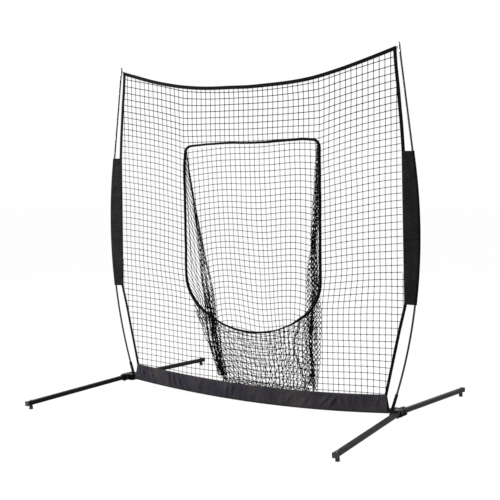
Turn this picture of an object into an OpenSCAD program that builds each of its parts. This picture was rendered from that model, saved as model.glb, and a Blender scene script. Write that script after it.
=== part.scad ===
/* [Poles] */
// Half of the distance between the feet of the poles
pole_foot_x = 963.5; // [930:0.5:1000]
// Outward lean of a pole at its foot
foot_lean = 19.2; // [18:0.1:21]
// Radius of the bent lower pole section
lower_r = 2900; // [2800:10:3050]
// Radius of the bent middle pole section
middle_r = 3050; // [2900:10:3200]
// Height of the pole tips
tip_z = 2126; // [2110:1:2180]
// Diameter of a fibreglass pole
pole_d = 11.5; // [10:0.1:12.5]
// Length of the lower and middle pole sections
section_len = 700; // [660:1:740]
// Wall of a joining ferrule
ferrule_wall = 1.2; // [0.8:0.1:1.6]
// Length of a joining ferrule
ferrule_len = 60; // [40:1:80]
// Radial clearance between a pole and a ferrule or tip
pole_fit = 0.25; // [0.2:0.01:0.35]
// Length of a metal pole tip
tip_len = 55; // [40:1:70]
// Wall of a pole tip
tip_wall = 1.1; // [0.8:0.1:1.4]
// Solid end of a pole tip above the pole
tip_end = 14; // [10:1:18]
// Width of the notch in a pole tip
notch_w = 3.2; // [2:0.1:4]
// Depth of the notch in a pole tip
notch_depth = 9; // [5:0.5:9]

/* [Pole sockets] */
// Outer diameter of a pole socket
socket_d = 18; // [17:0.5:22]
// Radial clearance of a pole in its socket
socket_fit = 0.6; // [0.5:0.05:0.9]
// Length of a pole socket
socket_len = 82; // [60:1:95]
// Gap between the foot of a pole and the hub plate
pole_foot_gap = 0.5; // [0.3:0.1:1]

/* [Hubs] */
// Height of the leg axis at the pivot, above the floor
leg_z = 66; // [62:0.5:72]
// Thickness of a hub plate
plate_t = 4; // [3:0.5:5]
// Distance from the pole foot out to the leg pivots
pivot_out = 48; // [46:1:60]
// Distance of each leg pivot from the middle of the hub
pivot_y = 40; // [36:1:46]
// Radius of the hub plate round a pivot
plate_r = 21; // [19:0.5:24]
// Radius of the inner corners of a hub plate
plate_corner_r = 10; // [4:0.5:14]
// Width of the inner part of a hub plate
plate_w = 56; // [50:1:60]
// Distance from the pole foot in to the edge of the hub plates
plate_in = 14; // [12:1:16]
// Width of the welded block between the hub plates
block_w = 32; // [28:1:36]
// Length of the welded block between the hub plates
block_len = 36; // [30:1:40]
// Gap between the end of the crossbar and the block
bar_end_gap = 1; // [0.5:0.1:2]
// Diameter of a pivot bolt
bolt_d = 8; // [6:0.5:10]
// Width over the flats of a bolt head or nut
bolt_flats = 13; // [12:0.5:17]
// Height of a bolt head or nut
bolt_head_h = 5.5; // [4:0.5:8]
// Length of the bolt below its nut
bolt_end = 3; // [1:0.5:6]
// Diameter of a pivot washer
washer_d = 18; // [16:0.5:22]
// Thickness of a pivot washer
washer_t = 1.6; // [1:0.1:2]

/* [Legs] */
// Distance from the middle of the net to the end of a leg
leg_end_y = 863; // [760:1:960]
// Width and height of a square leg tube
leg_w = 25; // [22:0.5:27]
// Wall of a leg tube
leg_wall = 1.6; // [1.2:0.1:2]
// Corner radius of a leg tube
leg_r = 2.5; // [2:0.5:4]
// Height of the leg axis at its outer end
leg_low_z = 37; // [34:0.5:42]
// Angle of a front leg out from straight ahead
front_splay = 4.5; // [0:0.5:8]
// Angle of a rear leg out from straight behind
rear_splay = 1; // [0:0.5:8]
// Height of the knuckle that turns on the pivot bolt
knuckle_h = 29; // [28:0.5:32]
// Distance from the pivot to the weld between knuckle and tube
knuckle_len = 26; // [22:1:34]
// Running clearance round the pivot bolt, on the radius
pivot_fit = 0.05; // [0.02:0.01:0.1]
// Clearance above and below a knuckle
knuckle_gap = 0.5; // [0.3:0.1:1]
// Width of a leg end cap
cap_w = 29; // [27:0.5:32]
// Thickness of the flange of a leg end cap
cap_t = 6; // [4:0.5:8]
// Depth of the plug of an end cap in the tube
cap_plug = 14; // [8:1:15]
// Clearance round the plug of an end cap
cap_fit = 0.3; // [0.1:0.05:0.5]
// Distance from the end of a leg to its foot
foot_in = 34; // [32:1:60]
// Diameter of a rubber foot at the floor
foot_d = 24; // [20:0.5:25]
// Diameter of a rubber foot under the tube
foot_top_d = 19; // [16:0.5:22]
// Height of the straight rim of a rubber foot
foot_rim_h = 5; // [3:0.5:8]
// Diameter of a foot bolt
foot_bolt_d = 5; // [4:0.5:6]
// Depth of a foot bolt in the rubber
foot_bolt_in = 12; // [8:0.5:14]
// Clearance round a foot bolt in the tube walls
foot_bolt_fit = 0.3; // [0.1:0.05:0.5]
// Width over the flats of a foot nut
foot_nut_flats = 10; // [8:0.5:11]
// Height of a foot nut
foot_nut_h = 6; // [4:0.5:7]

/* [Crossbar and skirt] */
// Height of the crossbar axis at its middle
bar_mid_z = 20; // [17:0.5:30]
// Height of the crossbar axis at the skirt ends
bar_end_z = 66; // [60:0.5:67]
// Outer diameter of the crossbar
bar_d = 25; // [22:0.5:25]
// Wall of the crossbar
bar_wall = 1.5; // [1.2:0.1:2]
// Radial clearance of spigots and couplers in the crossbar
bar_fit = 0.1; // [0.05:0.01:0.2]
// Length of a crossbar spigot or of half the coupler
spigot_len = 60; // [40:1:80]
// Distance from the pole foot in to the skirt end
skirt_in = 27; // [24:1:34]
// Height of the upper skirt edge above the crossbar axis
skirt_rise = 87; // [75:1:100]
// Thickness of one layer of skirt or sleeve cloth
cloth_t = 1.5; // [1:0.1:2]
// Clearance of the cloth round the crossbar, poles and ferrules
cloth_gap = 0.8; // [0.4:0.1:1.2]

/* [Sleeves] */
// Height of the upper end of a pole sleeve
sleeve_top_z = 1530; // [1500:1:1533]
// Height of the lower end of a pole sleeve
sleeve_bottom_z = 680; // [640:1:720]
// Width of a sleeve from the pole centre to its seam
sleeve_w = 66; // [56:1:80]

/* [Netting] */
// Height of the upper corners of the netting
corner_z = 2097; // [2080:1:2100]
// Gap from a pole centre to the upper corner of the netting
corner_gap = 18; // [16:1:30]
// Sag of the upper edge at its middle
top_sag = 142; // [80:1:180]
// Distance from the skirt end in to the netting edge
net_bottom_in = 11; // [5:1:30]
// Width of the binding along the upper edge
top_band_w = 18; // [12:0.5:22]
// Width of the bindings along the sides
side_band_w = 16; // [10:0.5:18]
// Thickness of the bindings
band_t = 4; // [3.4:0.1:5]
// Thickness of the netting
net_t = 3; // [2:0.1:3.2]
// Width of a strand of the netting
strand_w = 4; // [3:0.1:6]
// Meshes across the width of the pocket opening
mesh_cols = 9; // [6:1:10]
// Meshes from the skirt to the upper edge
mesh_rows = 17; // [12:1:18]
// Gap along sewn edges
sewn_gap = 0.3; // [0.2:0.1:0.5]

/* [Pocket] */
// Width of the pocket opening
opening_w = 989; // [900:1:1040]
// Height of the top of the opening
opening_top_z = 1597; // [1540:1:1640]
// Height of the bottom of the opening
opening_bottom_z = 445; // [400:1:480]
// Radius of the top corners of the opening
opening_top_r = 38; // [20:1:60]
// Radius of the lower corners of the opening
opening_side_r = 257; // [230:1:270]
// Radius of the bottom of the opening
opening_bottom_r = 637; // [600:1:680]
// Width of the binding round the opening
rim_w = 6; // [4:0.5:9]
// Thickness of the binding round the opening
rim_t = 16; // [10:0.5:20]
// Depth of the pocket at its bottom roll
pocket_depth = 195; // [150:1:240]
// Radius of the back wall, seen from the side
pocket_back_r = 6000; // [4500:50:9000]
// Half of the width of the back wall at its top
back_top_half = 468; // [440:1:472]
// Half of the width of the back wall where the roll starts
back_low_half = 330; // [300:1:340]
// Half of the width of the front wall where the roll starts
front_low_half = 382; // [360:1:395]
// Half of the width of the bottom roll at its lowest line
roll_half = 345; // [342:1:358]
// Height of the lowest point of the pocket
pocket_low_z = 96; // [90:1:110]
// Thickness of the pocket netting
pocket_t = 3; // [2:0.1:3.5]
// Meshes across the back wall of the pocket
pocket_cols = 8; // [6:1:9]
// Meshes down the back wall of the pocket
pocket_rows = 12; // [9:1:13]
// Pleats down each side wall of the pocket
pleat_rows = 16; // [10:1:18]

/* [Corner loops] */
// Thickness of the loop webbing
loop_t = 1.5; // [1:0.1:2]
// Height of the loop webbing
loop_h = 14; // [10:0.5:18]
// Distance of a loop's middle below the top of the pole tip
loop_down = 20; // [18:0.5:30]
// Length of a loop sewn on each face of the binding
loop_sewn = 16; // [10:1:24]

/* [Hidden] */

steel = "#2b2b2f";
zinc = "#c4c7cb";
fibreglass = "#1d1d20";
rubber = "#131315";
plastic = "#1a1a1c";
cloth = "#242326";
webbing = "#0e0e10";
twine = "#17171a";

// Smoothness of small round parts, of rings about them, and of very large arcs
fine = 64;
coarse = 32;
sweep = 720;
// Reach of the cutting shapes past what they cut
over = 5;

// Pole curve: a bent lower section, a bent middle section and a straight upper one
foot_z = leg_z + knuckle_h / 2 + knuckle_gap + plate_t + pole_foot_gap
    + pole_d / 2 * sin(foot_lean);
lower_centre_x = pole_foot_x - lower_r * cos(foot_lean);
lower_centre_z = foot_z + lower_r * sin(foot_lean);
joint_out = foot_lean - section_len / lower_r * 180 / PI;
middle_centre_x = lower_centre_x + (lower_r - middle_r) * cos(joint_out);
middle_centre_z = lower_centre_z - (lower_r - middle_r) * sin(joint_out);
top_lean = section_len / middle_r * 180 / PI - joint_out;
top_start_x = middle_centre_x + middle_r * cos(top_lean);
top_start_z = middle_centre_z + middle_r * sin(top_lean);
bow_x = middle_centre_x + middle_r;
bow_z = middle_centre_z;
joint_x = middle_centre_x + middle_r * cos(joint_out);
joint_z = middle_centre_z - middle_r * sin(joint_out);
pole_straight = (tip_z - top_start_z) / cos(top_lean) - tip_end;
tip_r = pole_d / 2 + pole_fit + tip_wall;
ferrule_r = pole_d / 2 + pole_fit + ferrule_wall;
channel_r = ferrule_r + cloth_gap;
function pole_x(z) =
    z < joint_z ? lower_centre_x + sqrt(pow(lower_r, 2) - pow(lower_centre_z - z, 2))
    : z < top_start_z ? middle_centre_x + sqrt(pow(middle_r, 2) - pow(z - middle_centre_z, 2))
    : top_start_x - (z - top_start_z) * tan(top_lean);

// Hub levels
gap_low_z = leg_z - knuckle_h / 2 - knuckle_gap;
gap_high_z = leg_z + knuckle_h / 2 + knuckle_gap;
plate_edge_x = pole_foot_x - plate_in;
pivot_x = pole_foot_x + pivot_out;
bolt_r = bolt_d / 2;

// Legs
function splay(fore) = fore < 0 ? front_splay : rear_splay;
function leg_reach(fore) = (leg_end_y - pivot_y - leg_w / 2 * sin(splay(fore))) / cos(splay(fore));
function droop(fore) = atan((leg_z - leg_low_z) / leg_reach(fore));
function leg_axis_z(fore, along) = leg_z - along * tan(droop(fore));
function foot_along(fore) = leg_reach(fore) - foot_in;

// Crossbar and skirt arcs share one centre above the net
bar_half = pole_foot_x - skirt_in;
bar_sag = bar_end_z - bar_mid_z;
bar_r = (pow(bar_half, 2) + pow(bar_sag, 2)) / (2 * bar_sag);
bar_centre_z = bar_mid_z + bar_r;
function bar_angle(x) = asin(x / bar_r);
block_x = plate_edge_x + cloth_t;
skirt_r = bar_d / 2 + cloth_gap + cloth_t;
skirt_top_r = bar_r - skirt_rise;
function skirt_top_z(x) = bar_centre_z - sqrt(pow(skirt_top_r, 2) - pow(x, 2));

// Netting outline
corner_x = pole_x(corner_z) - corner_gap;
seam_top_x = pole_x(sleeve_top_z) - sleeve_w;
seam_bottom_x = pole_x(sleeve_bottom_z) - sleeve_w;
net_bottom_x = bar_half - net_bottom_in;
net_bottom_z = skirt_top_z(net_bottom_x) + sewn_gap;
function upper_edge_z(x) = corner_z - top_sag * (1 - pow(x / corner_x, 2));
function upper_side_x(z) =
    corner_x + (seam_top_x - corner_x) * (corner_z - z) / (corner_z - sleeve_top_z);
function row_z(t, x) = (1 - t) * (skirt_top_z(x) + sewn_gap) + t * upper_edge_z(x);
edge_steps = 20;
corner_steps = 6;
side_steps = 12;
bottom_steps = 32;
edge_xs = [for (i = [-edge_steps : edge_steps]) i / edge_steps * corner_x];
mesh_w = opening_w / mesh_cols;
half_cols = mesh_cols / 2 + ceil((seam_bottom_x - opening_w / 2) / mesh_w);
knots_x = [for (i = [-half_cols : 1 : half_cols]) i * mesh_w];

// Opening outline
side_centre_x = opening_w / 2 - opening_side_r;
bottom_centre_z = opening_bottom_z + opening_bottom_r;
side_centre_z = bottom_centre_z
    - sqrt(pow(opening_bottom_r - opening_side_r, 2) - pow(side_centre_x, 2));
side_turn_z = side_centre_z - (bottom_centre_z - side_centre_z)
    * (opening_side_r + rim_w / 2) / (opening_bottom_r - opening_side_r);

// Pocket
pocket_y = rim_t / 2;
pocket_back_y = pocket_y + pocket_depth;
roll_r = pocket_depth / 2;
roll_y = pocket_y + roll_r;
roll_z = pocket_low_z + roll_r;
back_top_z = opening_top_z + rim_w;
back_chord = norm([pocket_depth - pocket_t, back_top_z - roll_z]);
back_rise = sqrt(pow(pocket_back_r, 2) - pow(back_chord / 2, 2));
back_centre_y = (2 * pocket_y + pocket_depth - pocket_t) / 2
    - back_rise * (back_top_z - roll_z) / back_chord;
back_centre_z = (back_top_z + roll_z) / 2
    - back_rise * (pocket_depth - pocket_t) / back_chord;
function back_share(z) = (back_top_z - z) / (back_top_z - roll_z);
function back_half(z) = back_top_half + (back_low_half - back_top_half) * back_share(z);
function back_y(z) = back_centre_y + sqrt(pow(pocket_back_r, 2) - pow(z - back_centre_z, 2));
function rim_x(z) =
    z > side_centre_z ? opening_w / 2 + rim_w / 2
    : side_centre_x + sqrt(pow(opening_side_r + rim_w / 2, 2) - pow(side_centre_z - z, 2));
turn_x = rim_x(side_turn_z);
function front_x(z) =
    z > side_turn_z ? rim_x(z)
    : turn_x - (turn_x - front_low_half) * pow((side_turn_z - z) / (side_turn_z - roll_z), 3);

// ---- Placing ----

module on_side(side) {
    mirror([side < 0 ? 1 : 0, 0, 0]) children();
}

// Stands a plane drawing up in the plane of the net, as a sheet of thickness t
module upright(t) {
    rotate([90, 0, 0]) linear_extrude(t, center = true) children();
}

// Extrudes a drawing of depth against height along the width
module along_width(w) {
    rotate([90, 0, 90]) linear_extrude(w, center = true) children();
}

// Sweeps a section drawn about a pole centre, first axis outward, along an arc
module along_arc(x, z, r, from, to) {
    translate([x, 0, z]) rotate([90, 0, 0]) rotate([0, 0, from])
        rotate_extrude(angle = to - from, $fn = sweep) translate([r, 0]) children();
}

// Stands on the lower joint of a pole, with Z along the pole
module on_low_joint() {
    translate([joint_x, 0, joint_z]) rotate([0, joint_out, 0]) children();
}

// Stands on the upper joint of a pole, with Z along its straight top section
module on_top_joint() {
    translate([top_start_x, 0, top_start_z]) rotate([0, -top_lean, 0]) children();
}

// Sweeps a section drawn about the crossbar axis, first axis upward
module along_bar(from_x, to_x) {
    translate([0, 0, bar_centre_z]) rotate([90, 0, 0]) rotate([0, 0, -90 + bar_angle(from_x)])
        rotate_extrude(angle = bar_angle(to_x) - bar_angle(from_x), $fn = 4 * sweep)
            translate([bar_r, 0]) children();
}

module at_pivots() {
    for (side = [-1, 1], fore = [-1, 1])
        translate([side * pivot_x, fore * pivot_y, 0]) children();
}

// Puts a leg drawn from its pivot along X on its side of the hub
module place_leg(side, fore) {
    on_side(side) translate([pivot_x, fore * pivot_y, 0])
        rotate([0, 0, fore * (90 - splay(fore))]) children();
}

module along_leg(fore) {
    translate([0, 0, leg_z]) rotate([0, droop(fore), 0]) children();
}

module rounded_square(w, r) {
    square([w, w - 2 * r], center = true);
    square([w - 2 * r, w], center = true);
    for (u = [-1, 1], v = [-1, 1])
        translate([u * (w / 2 - r), v * (w / 2 - r)]) circle(r, $fn = coarse);
}

module hexagon(flats, h) {
    cylinder(h = h, d = flats / cos(30), $fn = 6);
}

// ---- Hubs ----

module plate_outline() {
    difference() {
        union() {
            translate([pivot_x - plate_r, -pivot_y]) square([2 * plate_r, 2 * pivot_y]);
            for (v = [-1, 1])
                translate([pivot_x, v * pivot_y]) circle(plate_r, $fn = fine);
            translate([plate_edge_x + plate_corner_r, -plate_w / 2])
                square([pivot_x - plate_edge_x - plate_corner_r, plate_w]);
            translate([plate_edge_x, -plate_w / 2 + plate_corner_r])
                square([pivot_x - plate_edge_x, plate_w - 2 * plate_corner_r]);
            for (v = [-1, 1])
                translate([plate_edge_x + plate_corner_r, v * (plate_w / 2 - plate_corner_r)])
                    circle(plate_corner_r, $fn = coarse);
        }
        for (v = [-1, 1])
            translate([pivot_x, v * pivot_y]) circle(bolt_r + pivot_fit, $fn = fine);
    }
}

module hub_upper_plate(side) {
    color(steel) on_side(side) translate([0, 0, gap_high_z])
        linear_extrude(plate_t) plate_outline();
}

module hub_lower_plate(side) {
    color(steel) on_side(side) translate([0, 0, gap_low_z - plate_t])
        linear_extrude(plate_t) plate_outline();
}

module hub_block(side) {
    color(steel) on_side(side) {
        translate([block_x, -block_w / 2, gap_low_z])
            cube([block_len, block_w, gap_high_z - gap_low_z]);
        along_bar(block_x - spigot_len, block_x + over)
            circle(d = bar_d - 2 * (bar_wall + bar_fit), $fn = fine);
    }
}

module pole_socket(side) {
    lean = foot_lean - socket_len / 2 / lower_r * 180 / PI;
    middle_x = lower_centre_x + lower_r * cos(lean);
    middle_z = lower_centre_z - lower_r * sin(lean);
    color(steel) on_side(side) difference() {
        translate([middle_x, 0, middle_z]) rotate([0, lean, 0]) difference() {
            translate([0, 0, -socket_len / 2 - over])
                cylinder(h = socket_len + over, d = socket_d, $fn = fine);
            translate([0, 0, -socket_len / 2 - 2 * over])
                cylinder(h = socket_len + 3 * over, d = pole_d + 2 * socket_fit, $fn = fine);
        }
        translate([pole_foot_x - socket_len, -socket_d, gap_high_z + plate_t - socket_len])
            cube([2 * socket_len, 2 * socket_d, socket_len]);
    }
}

module pivot_bolts() {
    color(zinc) at_pivots() {
        translate([0, 0, gap_low_z - plate_t - washer_t - bolt_head_h - bolt_end])
            cylinder(h = gap_high_z - gap_low_z + 2 * plate_t + washer_t + bolt_head_h + bolt_end,
                     d = bolt_d, $fn = fine);
        translate([0, 0, gap_high_z + plate_t]) cylinder(h = washer_t, d = washer_d, $fn = fine);
        translate([0, 0, gap_high_z + plate_t + washer_t]) hexagon(bolt_flats, bolt_head_h);
    }
}

module pivot_nuts() {
    color(zinc) at_pivots() difference() {
        union() {
            translate([0, 0, gap_low_z - plate_t - washer_t])
                cylinder(h = washer_t, d = washer_d, $fn = fine);
            translate([0, 0, gap_low_z - plate_t - washer_t - bolt_head_h])
                hexagon(bolt_flats, bolt_head_h);
        }
        translate([0, 0, gap_low_z - plate_t - washer_t - bolt_head_h - over])
            cylinder(h = washer_t + bolt_head_h + 2 * over, d = bolt_d, $fn = fine);
    }
}

// ---- Legs ----

module leg(side, fore) {
    color(steel) place_leg(side, fore) difference() {
        union() {
            translate([0, 0, leg_z - knuckle_h / 2]) {
                cylinder(h = knuckle_h, d = leg_w, $fn = fine);
                translate([0, -leg_w / 2, 0]) cube([knuckle_len, leg_w, knuckle_h]);
            }
            along_leg(fore) translate([knuckle_len - over, 0, 0]) rotate([90, 0, 90])
                linear_extrude(leg_reach(fore) - cap_t - knuckle_len + over)
                    rounded_square(leg_w, leg_r);
        }
        along_leg(fore) translate([knuckle_len + over, 0, 0]) rotate([90, 0, 90])
            linear_extrude(leg_reach(fore)) square(leg_w - 2 * leg_wall, center = true);
        cylinder(h = 2 * leg_z, r = bolt_r + pivot_fit, $fn = fine);
        translate([foot_along(fore), 0, 0])
            cylinder(h = 2 * leg_z, d = foot_bolt_d + 2 * foot_bolt_fit, $fn = coarse);
    }
}

module leg_cap(side, fore) {
    plug_w = leg_w - 2 * (leg_wall + cap_fit);
    color(plastic) place_leg(side, fore) along_leg(fore)
        translate([leg_reach(fore) - cap_t, 0, 0]) rotate([90, 0, 90]) {
            linear_extrude(cap_t) rounded_square(cap_w, leg_r + (cap_w - leg_w) / 2);
            translate([0, 0, -cap_plug]) linear_extrude(cap_plug + cap_t / 2)
                square(plug_w, center = true);
        }
}

module leg_foot(side, fore) {
    color(rubber) place_leg(side, fore) difference() {
        translate([foot_along(fore), 0, 0]) {
            cylinder(h = foot_rim_h, d = foot_d, $fn = fine);
            translate([0, 0, foot_rim_h])
                cylinder(h = leg_low_z - foot_rim_h, d1 = foot_d, d2 = foot_top_d, $fn = fine);
        }
        along_leg(fore) translate([0, -leg_w, -leg_w / 2])
            cube([leg_reach(fore), 2 * leg_w, 2 * leg_w]);
        translate([foot_along(fore), 0, leg_axis_z(fore, foot_along(fore)) - leg_w / 2 - foot_bolt_in])
            cylinder(h = leg_z, d = foot_bolt_d, $fn = coarse);
    }
}

module foot_bolt(side, fore) {
    top_z = leg_axis_z(fore, foot_along(fore)) + leg_w / 2;
    bottom_z = top_z - leg_w - foot_bolt_in;
    color(zinc) place_leg(side, fore) translate([foot_along(fore), 0, 0]) difference() {
        union() {
            translate([0, 0, bottom_z])
                cylinder(h = top_z - bottom_z + foot_nut_h, d = foot_bolt_d, $fn = coarse);
            translate([0, 0, top_z - over]) hexagon(foot_nut_flats, foot_nut_h + over);
        }
        translate([-foot_along(fore), 0, 0]) along_leg(fore)
            translate([leg_reach(fore) / 2, 0, 0]) difference() {
                cube([leg_reach(fore) * 2, leg_w * 2, leg_w], center = true);
                translate([foot_along(fore) - leg_reach(fore) / 2, 0, 0])
                    cylinder(h = leg_w * 2, d = foot_bolt_d, center = true, $fn = coarse);
            }
    }
}

// ---- Crossbar and skirt ----

module bar_tube(from_x, to_x) {
    color(steel) along_bar(from_x, to_x) difference() {
        circle(d = bar_d, $fn = fine);
        circle(d = bar_d - 2 * bar_wall, $fn = fine);
    }
}

module crossbar_coupler() {
    color(zinc) along_bar(-spigot_len, spigot_len)
        circle(d = bar_d - 2 * (bar_wall + bar_fit), $fn = fine);
}

module skirt() {
    color(cloth) along_bar(-bar_half, bar_half) difference() {
        union() {
            circle(skirt_r, $fn = fine);
            translate([-skirt_rise, -cloth_t]) square([skirt_rise, 2 * cloth_t]);
        }
        circle(skirt_r - cloth_t, $fn = fine);
    }
}

// ---- Poles ----

module pole_lower(side) {
    color(fibreglass) on_side(side)
        along_arc(lower_centre_x, lower_centre_z, lower_r, -foot_lean, -joint_out)
            circle(d = pole_d, $fn = coarse);
}

module pole_middle(side) {
    color(fibreglass) on_side(side)
        along_arc(middle_centre_x, middle_centre_z, middle_r, -joint_out, top_lean)
            circle(d = pole_d, $fn = coarse);
}

module pole_upper(side) {
    color(fibreglass) on_side(side) on_top_joint()
        cylinder(h = pole_straight, d = pole_d, $fn = coarse);
}

module ferrule() {
    translate([0, 0, -ferrule_len / 2]) difference() {
        cylinder(h = ferrule_len, r = ferrule_r, $fn = fine);
        translate([0, 0, -over])
            cylinder(h = ferrule_len + 2 * over, d = pole_d + 2 * pole_fit, $fn = fine);
    }
}

module pole_ferrules() {
    color(zinc) for (side = [-1, 1]) on_side(side) {
        on_low_joint() ferrule();
        on_top_joint() ferrule();
    }
}

module pole_tip(side) {
    color(zinc) on_side(side) on_top_joint()
        translate([0, 0, pole_straight + tip_end - tip_len]) difference() {
            union() {
                cylinder(h = tip_len - tip_r / 2, r = tip_r, $fn = fine);
                translate([0, 0, tip_len - tip_r / 2])
                    cylinder(h = tip_r / 2, r1 = tip_r, r2 = tip_r / 2, $fn = fine);
            }
            translate([0, 0, -over])
                cylinder(h = tip_len - tip_end + over, d = pole_d + 2 * pole_fit, $fn = fine);
            translate([-notch_w / 2, -tip_r - over, tip_len - notch_depth])
                cube([notch_w, 2 * (tip_r + over), notch_depth + over]);
        }
}

// ---- Sleeves ----

// A channel round the pole and a web of doubled cloth in to the seam of the netting
module sleeve(side) {
    low_turn = asin((bow_z - sleeve_bottom_z) / middle_r);
    high_turn = asin((sleeve_top_z - bow_z) / middle_r);
    web = bow_x - min(seam_top_x, seam_bottom_x);
    color(cloth) on_side(side) intersection() {
        along_arc(middle_centre_x, middle_centre_z, middle_r, -low_turn, high_turn) difference() {
            union() {
                circle(channel_r + cloth_t, $fn = fine);
                translate([-web, -cloth_t]) square([web, 2 * cloth_t]);
            }
            circle(channel_r, $fn = fine);
        }
        upright(4 * channel_r) polygon([
            [seam_top_x, sleeve_top_z], [seam_bottom_x, sleeve_bottom_z],
            [bow_x + web, sleeve_bottom_z], [bow_x + web, sleeve_top_z]
        ]);
    }
}

// ---- Bindings ----

module net_outline() {
    side = [
        [seam_top_x, sleeve_top_z], [seam_bottom_x, sleeve_bottom_z],
        [net_bottom_x, net_bottom_z]
    ];
    inner_knots = [for (x = knots_x) if (abs(x) < net_bottom_x) x];
    polygon(concat(
        [for (x = edge_xs) [x, upper_edge_z(x)]],
        side,
        [for (i = [len(inner_knots) - 1 : -1 : 0])
            [inner_knots[i], skirt_top_z(inner_knots[i]) + sewn_gap]],
        [for (i = [len(side) - 1 : -1 : 0]) [-side[i][0], side[i][1]]]
    ));
}

module top_band(w, reach = 0) {
    last = len(edge_xs) - 1;
    end_x = upper_side_x(corner_z - w) + reach;
    polygon(concat(
        [for (x = edge_xs) [x * (1 + reach / corner_x), upper_edge_z(x) + reach]],
        [[end_x, corner_z - w]],
        [for (i = [last - 1 : -1 : 1]) [edge_xs[i], upper_edge_z(edge_xs[i]) - w]],
        [[-end_x, corner_z - w]]
    ));
}

module side_band(reach = 0) {
    start = corner_z - top_band_w;
    polygon([
        [upper_side_x(start) + reach, start], [seam_top_x + reach, sleeve_top_z],
        [seam_top_x - side_band_w, sleeve_top_z],
        [upper_side_x(start) - side_band_w, upper_edge_z(corner_x - side_band_w) - top_band_w]
    ]);
    polygon([
        [seam_bottom_x + reach, sleeve_bottom_z], [net_bottom_x + reach, net_bottom_z],
        [net_bottom_x - side_band_w, net_bottom_z],
        [seam_bottom_x - side_band_w, sleeve_bottom_z]
    ]);
}

module top_binding() {
    color(webbing) upright(band_t) top_band(top_band_w);
}

module side_binding(side) {
    color(webbing) on_side(side) upright(band_t) side_band();
}

// Webbing sewn on both faces of the upper corner and looped round the pole tip
module corner_loops() {
    pole_at = pole_straight + tip_end - loop_down;
    loop_x = top_start_x - pole_at * sin(top_lean);
    loop_z = top_start_z + pole_at * cos(top_lean);
    inner_r = tip_r + sewn_gap + loop_h / 2 * tan(top_lean);
    start_x = corner_x - loop_sewn;
    color(webbing) for (side = [-1, 1]) on_side(side)
        translate([0, 0, loop_z - loop_h / 2]) linear_extrude(loop_h) difference() {
            union() {
                translate([loop_x, 0]) circle(inner_r + loop_t, $fn = fine);
                polygon([
                    [start_x, band_t / 2 + loop_t], [corner_x, band_t / 2 + loop_t],
                    [loop_x, inner_r + loop_t], [loop_x, -inner_r - loop_t],
                    [corner_x, -band_t / 2 - loop_t], [start_x, -band_t / 2 - loop_t]
                ]);
            }
            translate([loop_x, 0]) circle(inner_r, $fn = fine);
            polygon([
                [start_x - over, band_t / 2], [corner_x, band_t / 2],
                [loop_x, inner_r], [loop_x, -inner_r],
                [corner_x, -band_t / 2], [start_x - over, -band_t / 2]
            ]);
        }
}

// ---- Netting ----

// One open mesh between two columns of knots
module mesh_gap(x, k) {
    half = strand_w / 2;
    polygon([
        [x + half, row_z(k / mesh_rows, x) + half],
        [x + mesh_w - half, row_z(k / mesh_rows, x + mesh_w) + half],
        [x + mesh_w - half, row_z((k + 1) / mesh_rows, x + mesh_w) - half],
        [x + half, row_z((k + 1) / mesh_rows, x) - half]
    ]);
}

// Points along an arc about a centre, from one bearing to another
function arc_points(centre, r, from_a, to_a, steps) = [for (i = [0 : steps])
    let (a = from_a + (to_a - from_a) * i / steps) centre + r * [cos(a), sin(a)]];

function between_ends(points) = [for (i = [1 : len(points) - 2]) points[i]];

// The opening is a U with tight top corners, drawn as arcs that run into one another
module opening(grow) {
    top = [opening_w / 2 - opening_top_r, opening_top_z - opening_top_r];
    side = [side_centre_x, side_centre_z];
    bottom = [0, bottom_centre_z];
    turn = atan2(side_centre_z - bottom_centre_z, side_centre_x);
    polygon(concat(
        arc_points([-top[0], top[1]], opening_top_r + grow, 180, 90, corner_steps),
        arc_points(top, opening_top_r + grow, 90, 0, corner_steps),
        arc_points(side, opening_side_r + grow, 0, turn, side_steps),
        between_ends(arc_points(bottom, opening_bottom_r + grow, turn, -180 - turn, bottom_steps)),
        arc_points([-side[0], side[1]], opening_side_r + grow, -180 - turn, -180, side_steps)
    ));
}

module netting(from_x, from_z, to_x, to_z) {
    color(twine) upright(net_t) difference() {
        intersection() {
            net_outline();
            translate([from_x, from_z]) square([to_x - from_x, to_z - from_z]);
        }
        for (x = knots_x, k = [0 : mesh_rows - 1]) mesh_gap(x, k);
        top_band(top_band_w + sewn_gap, over);
        side_band(over);
        mirror([1, 0]) side_band(over);
        opening(rim_w + sewn_gap);
    }
}

// The side panels end at the binding of the opening
split_x = opening_w / 2 + rim_w + sewn_gap;
split_z = (opening_top_z + opening_bottom_z) / 2;
// The lower panels begin below the side arcs' upper end, where the gap beside them has opened
low_split_z = side_centre_z - opening_side_r / 8;

// ---- Pocket ----

module pocket_rim() {
    color(webbing) upright(rim_t) difference() {
        opening(rim_w);
        opening(0);
    }
}

// One open mesh of the back wall, which narrows downward
module back_gap(i, k) {
    function at(u, v) = let (z = roll_z + (back_top_z - roll_z) * v / pocket_rows)
        [(2 * u / pocket_cols - 1) * (back_half(z) - strand_w / 2), z];
    a = at(i, k);
    b = at(i + 1, k);
    c = at(i + 1, k + 1);
    d = at(i, k + 1);
    half = strand_w / 2;
    polygon([
        a + [half, half], b + [-half, half], c + [-half, -half], d + [half, -half]
    ]);
}

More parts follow.
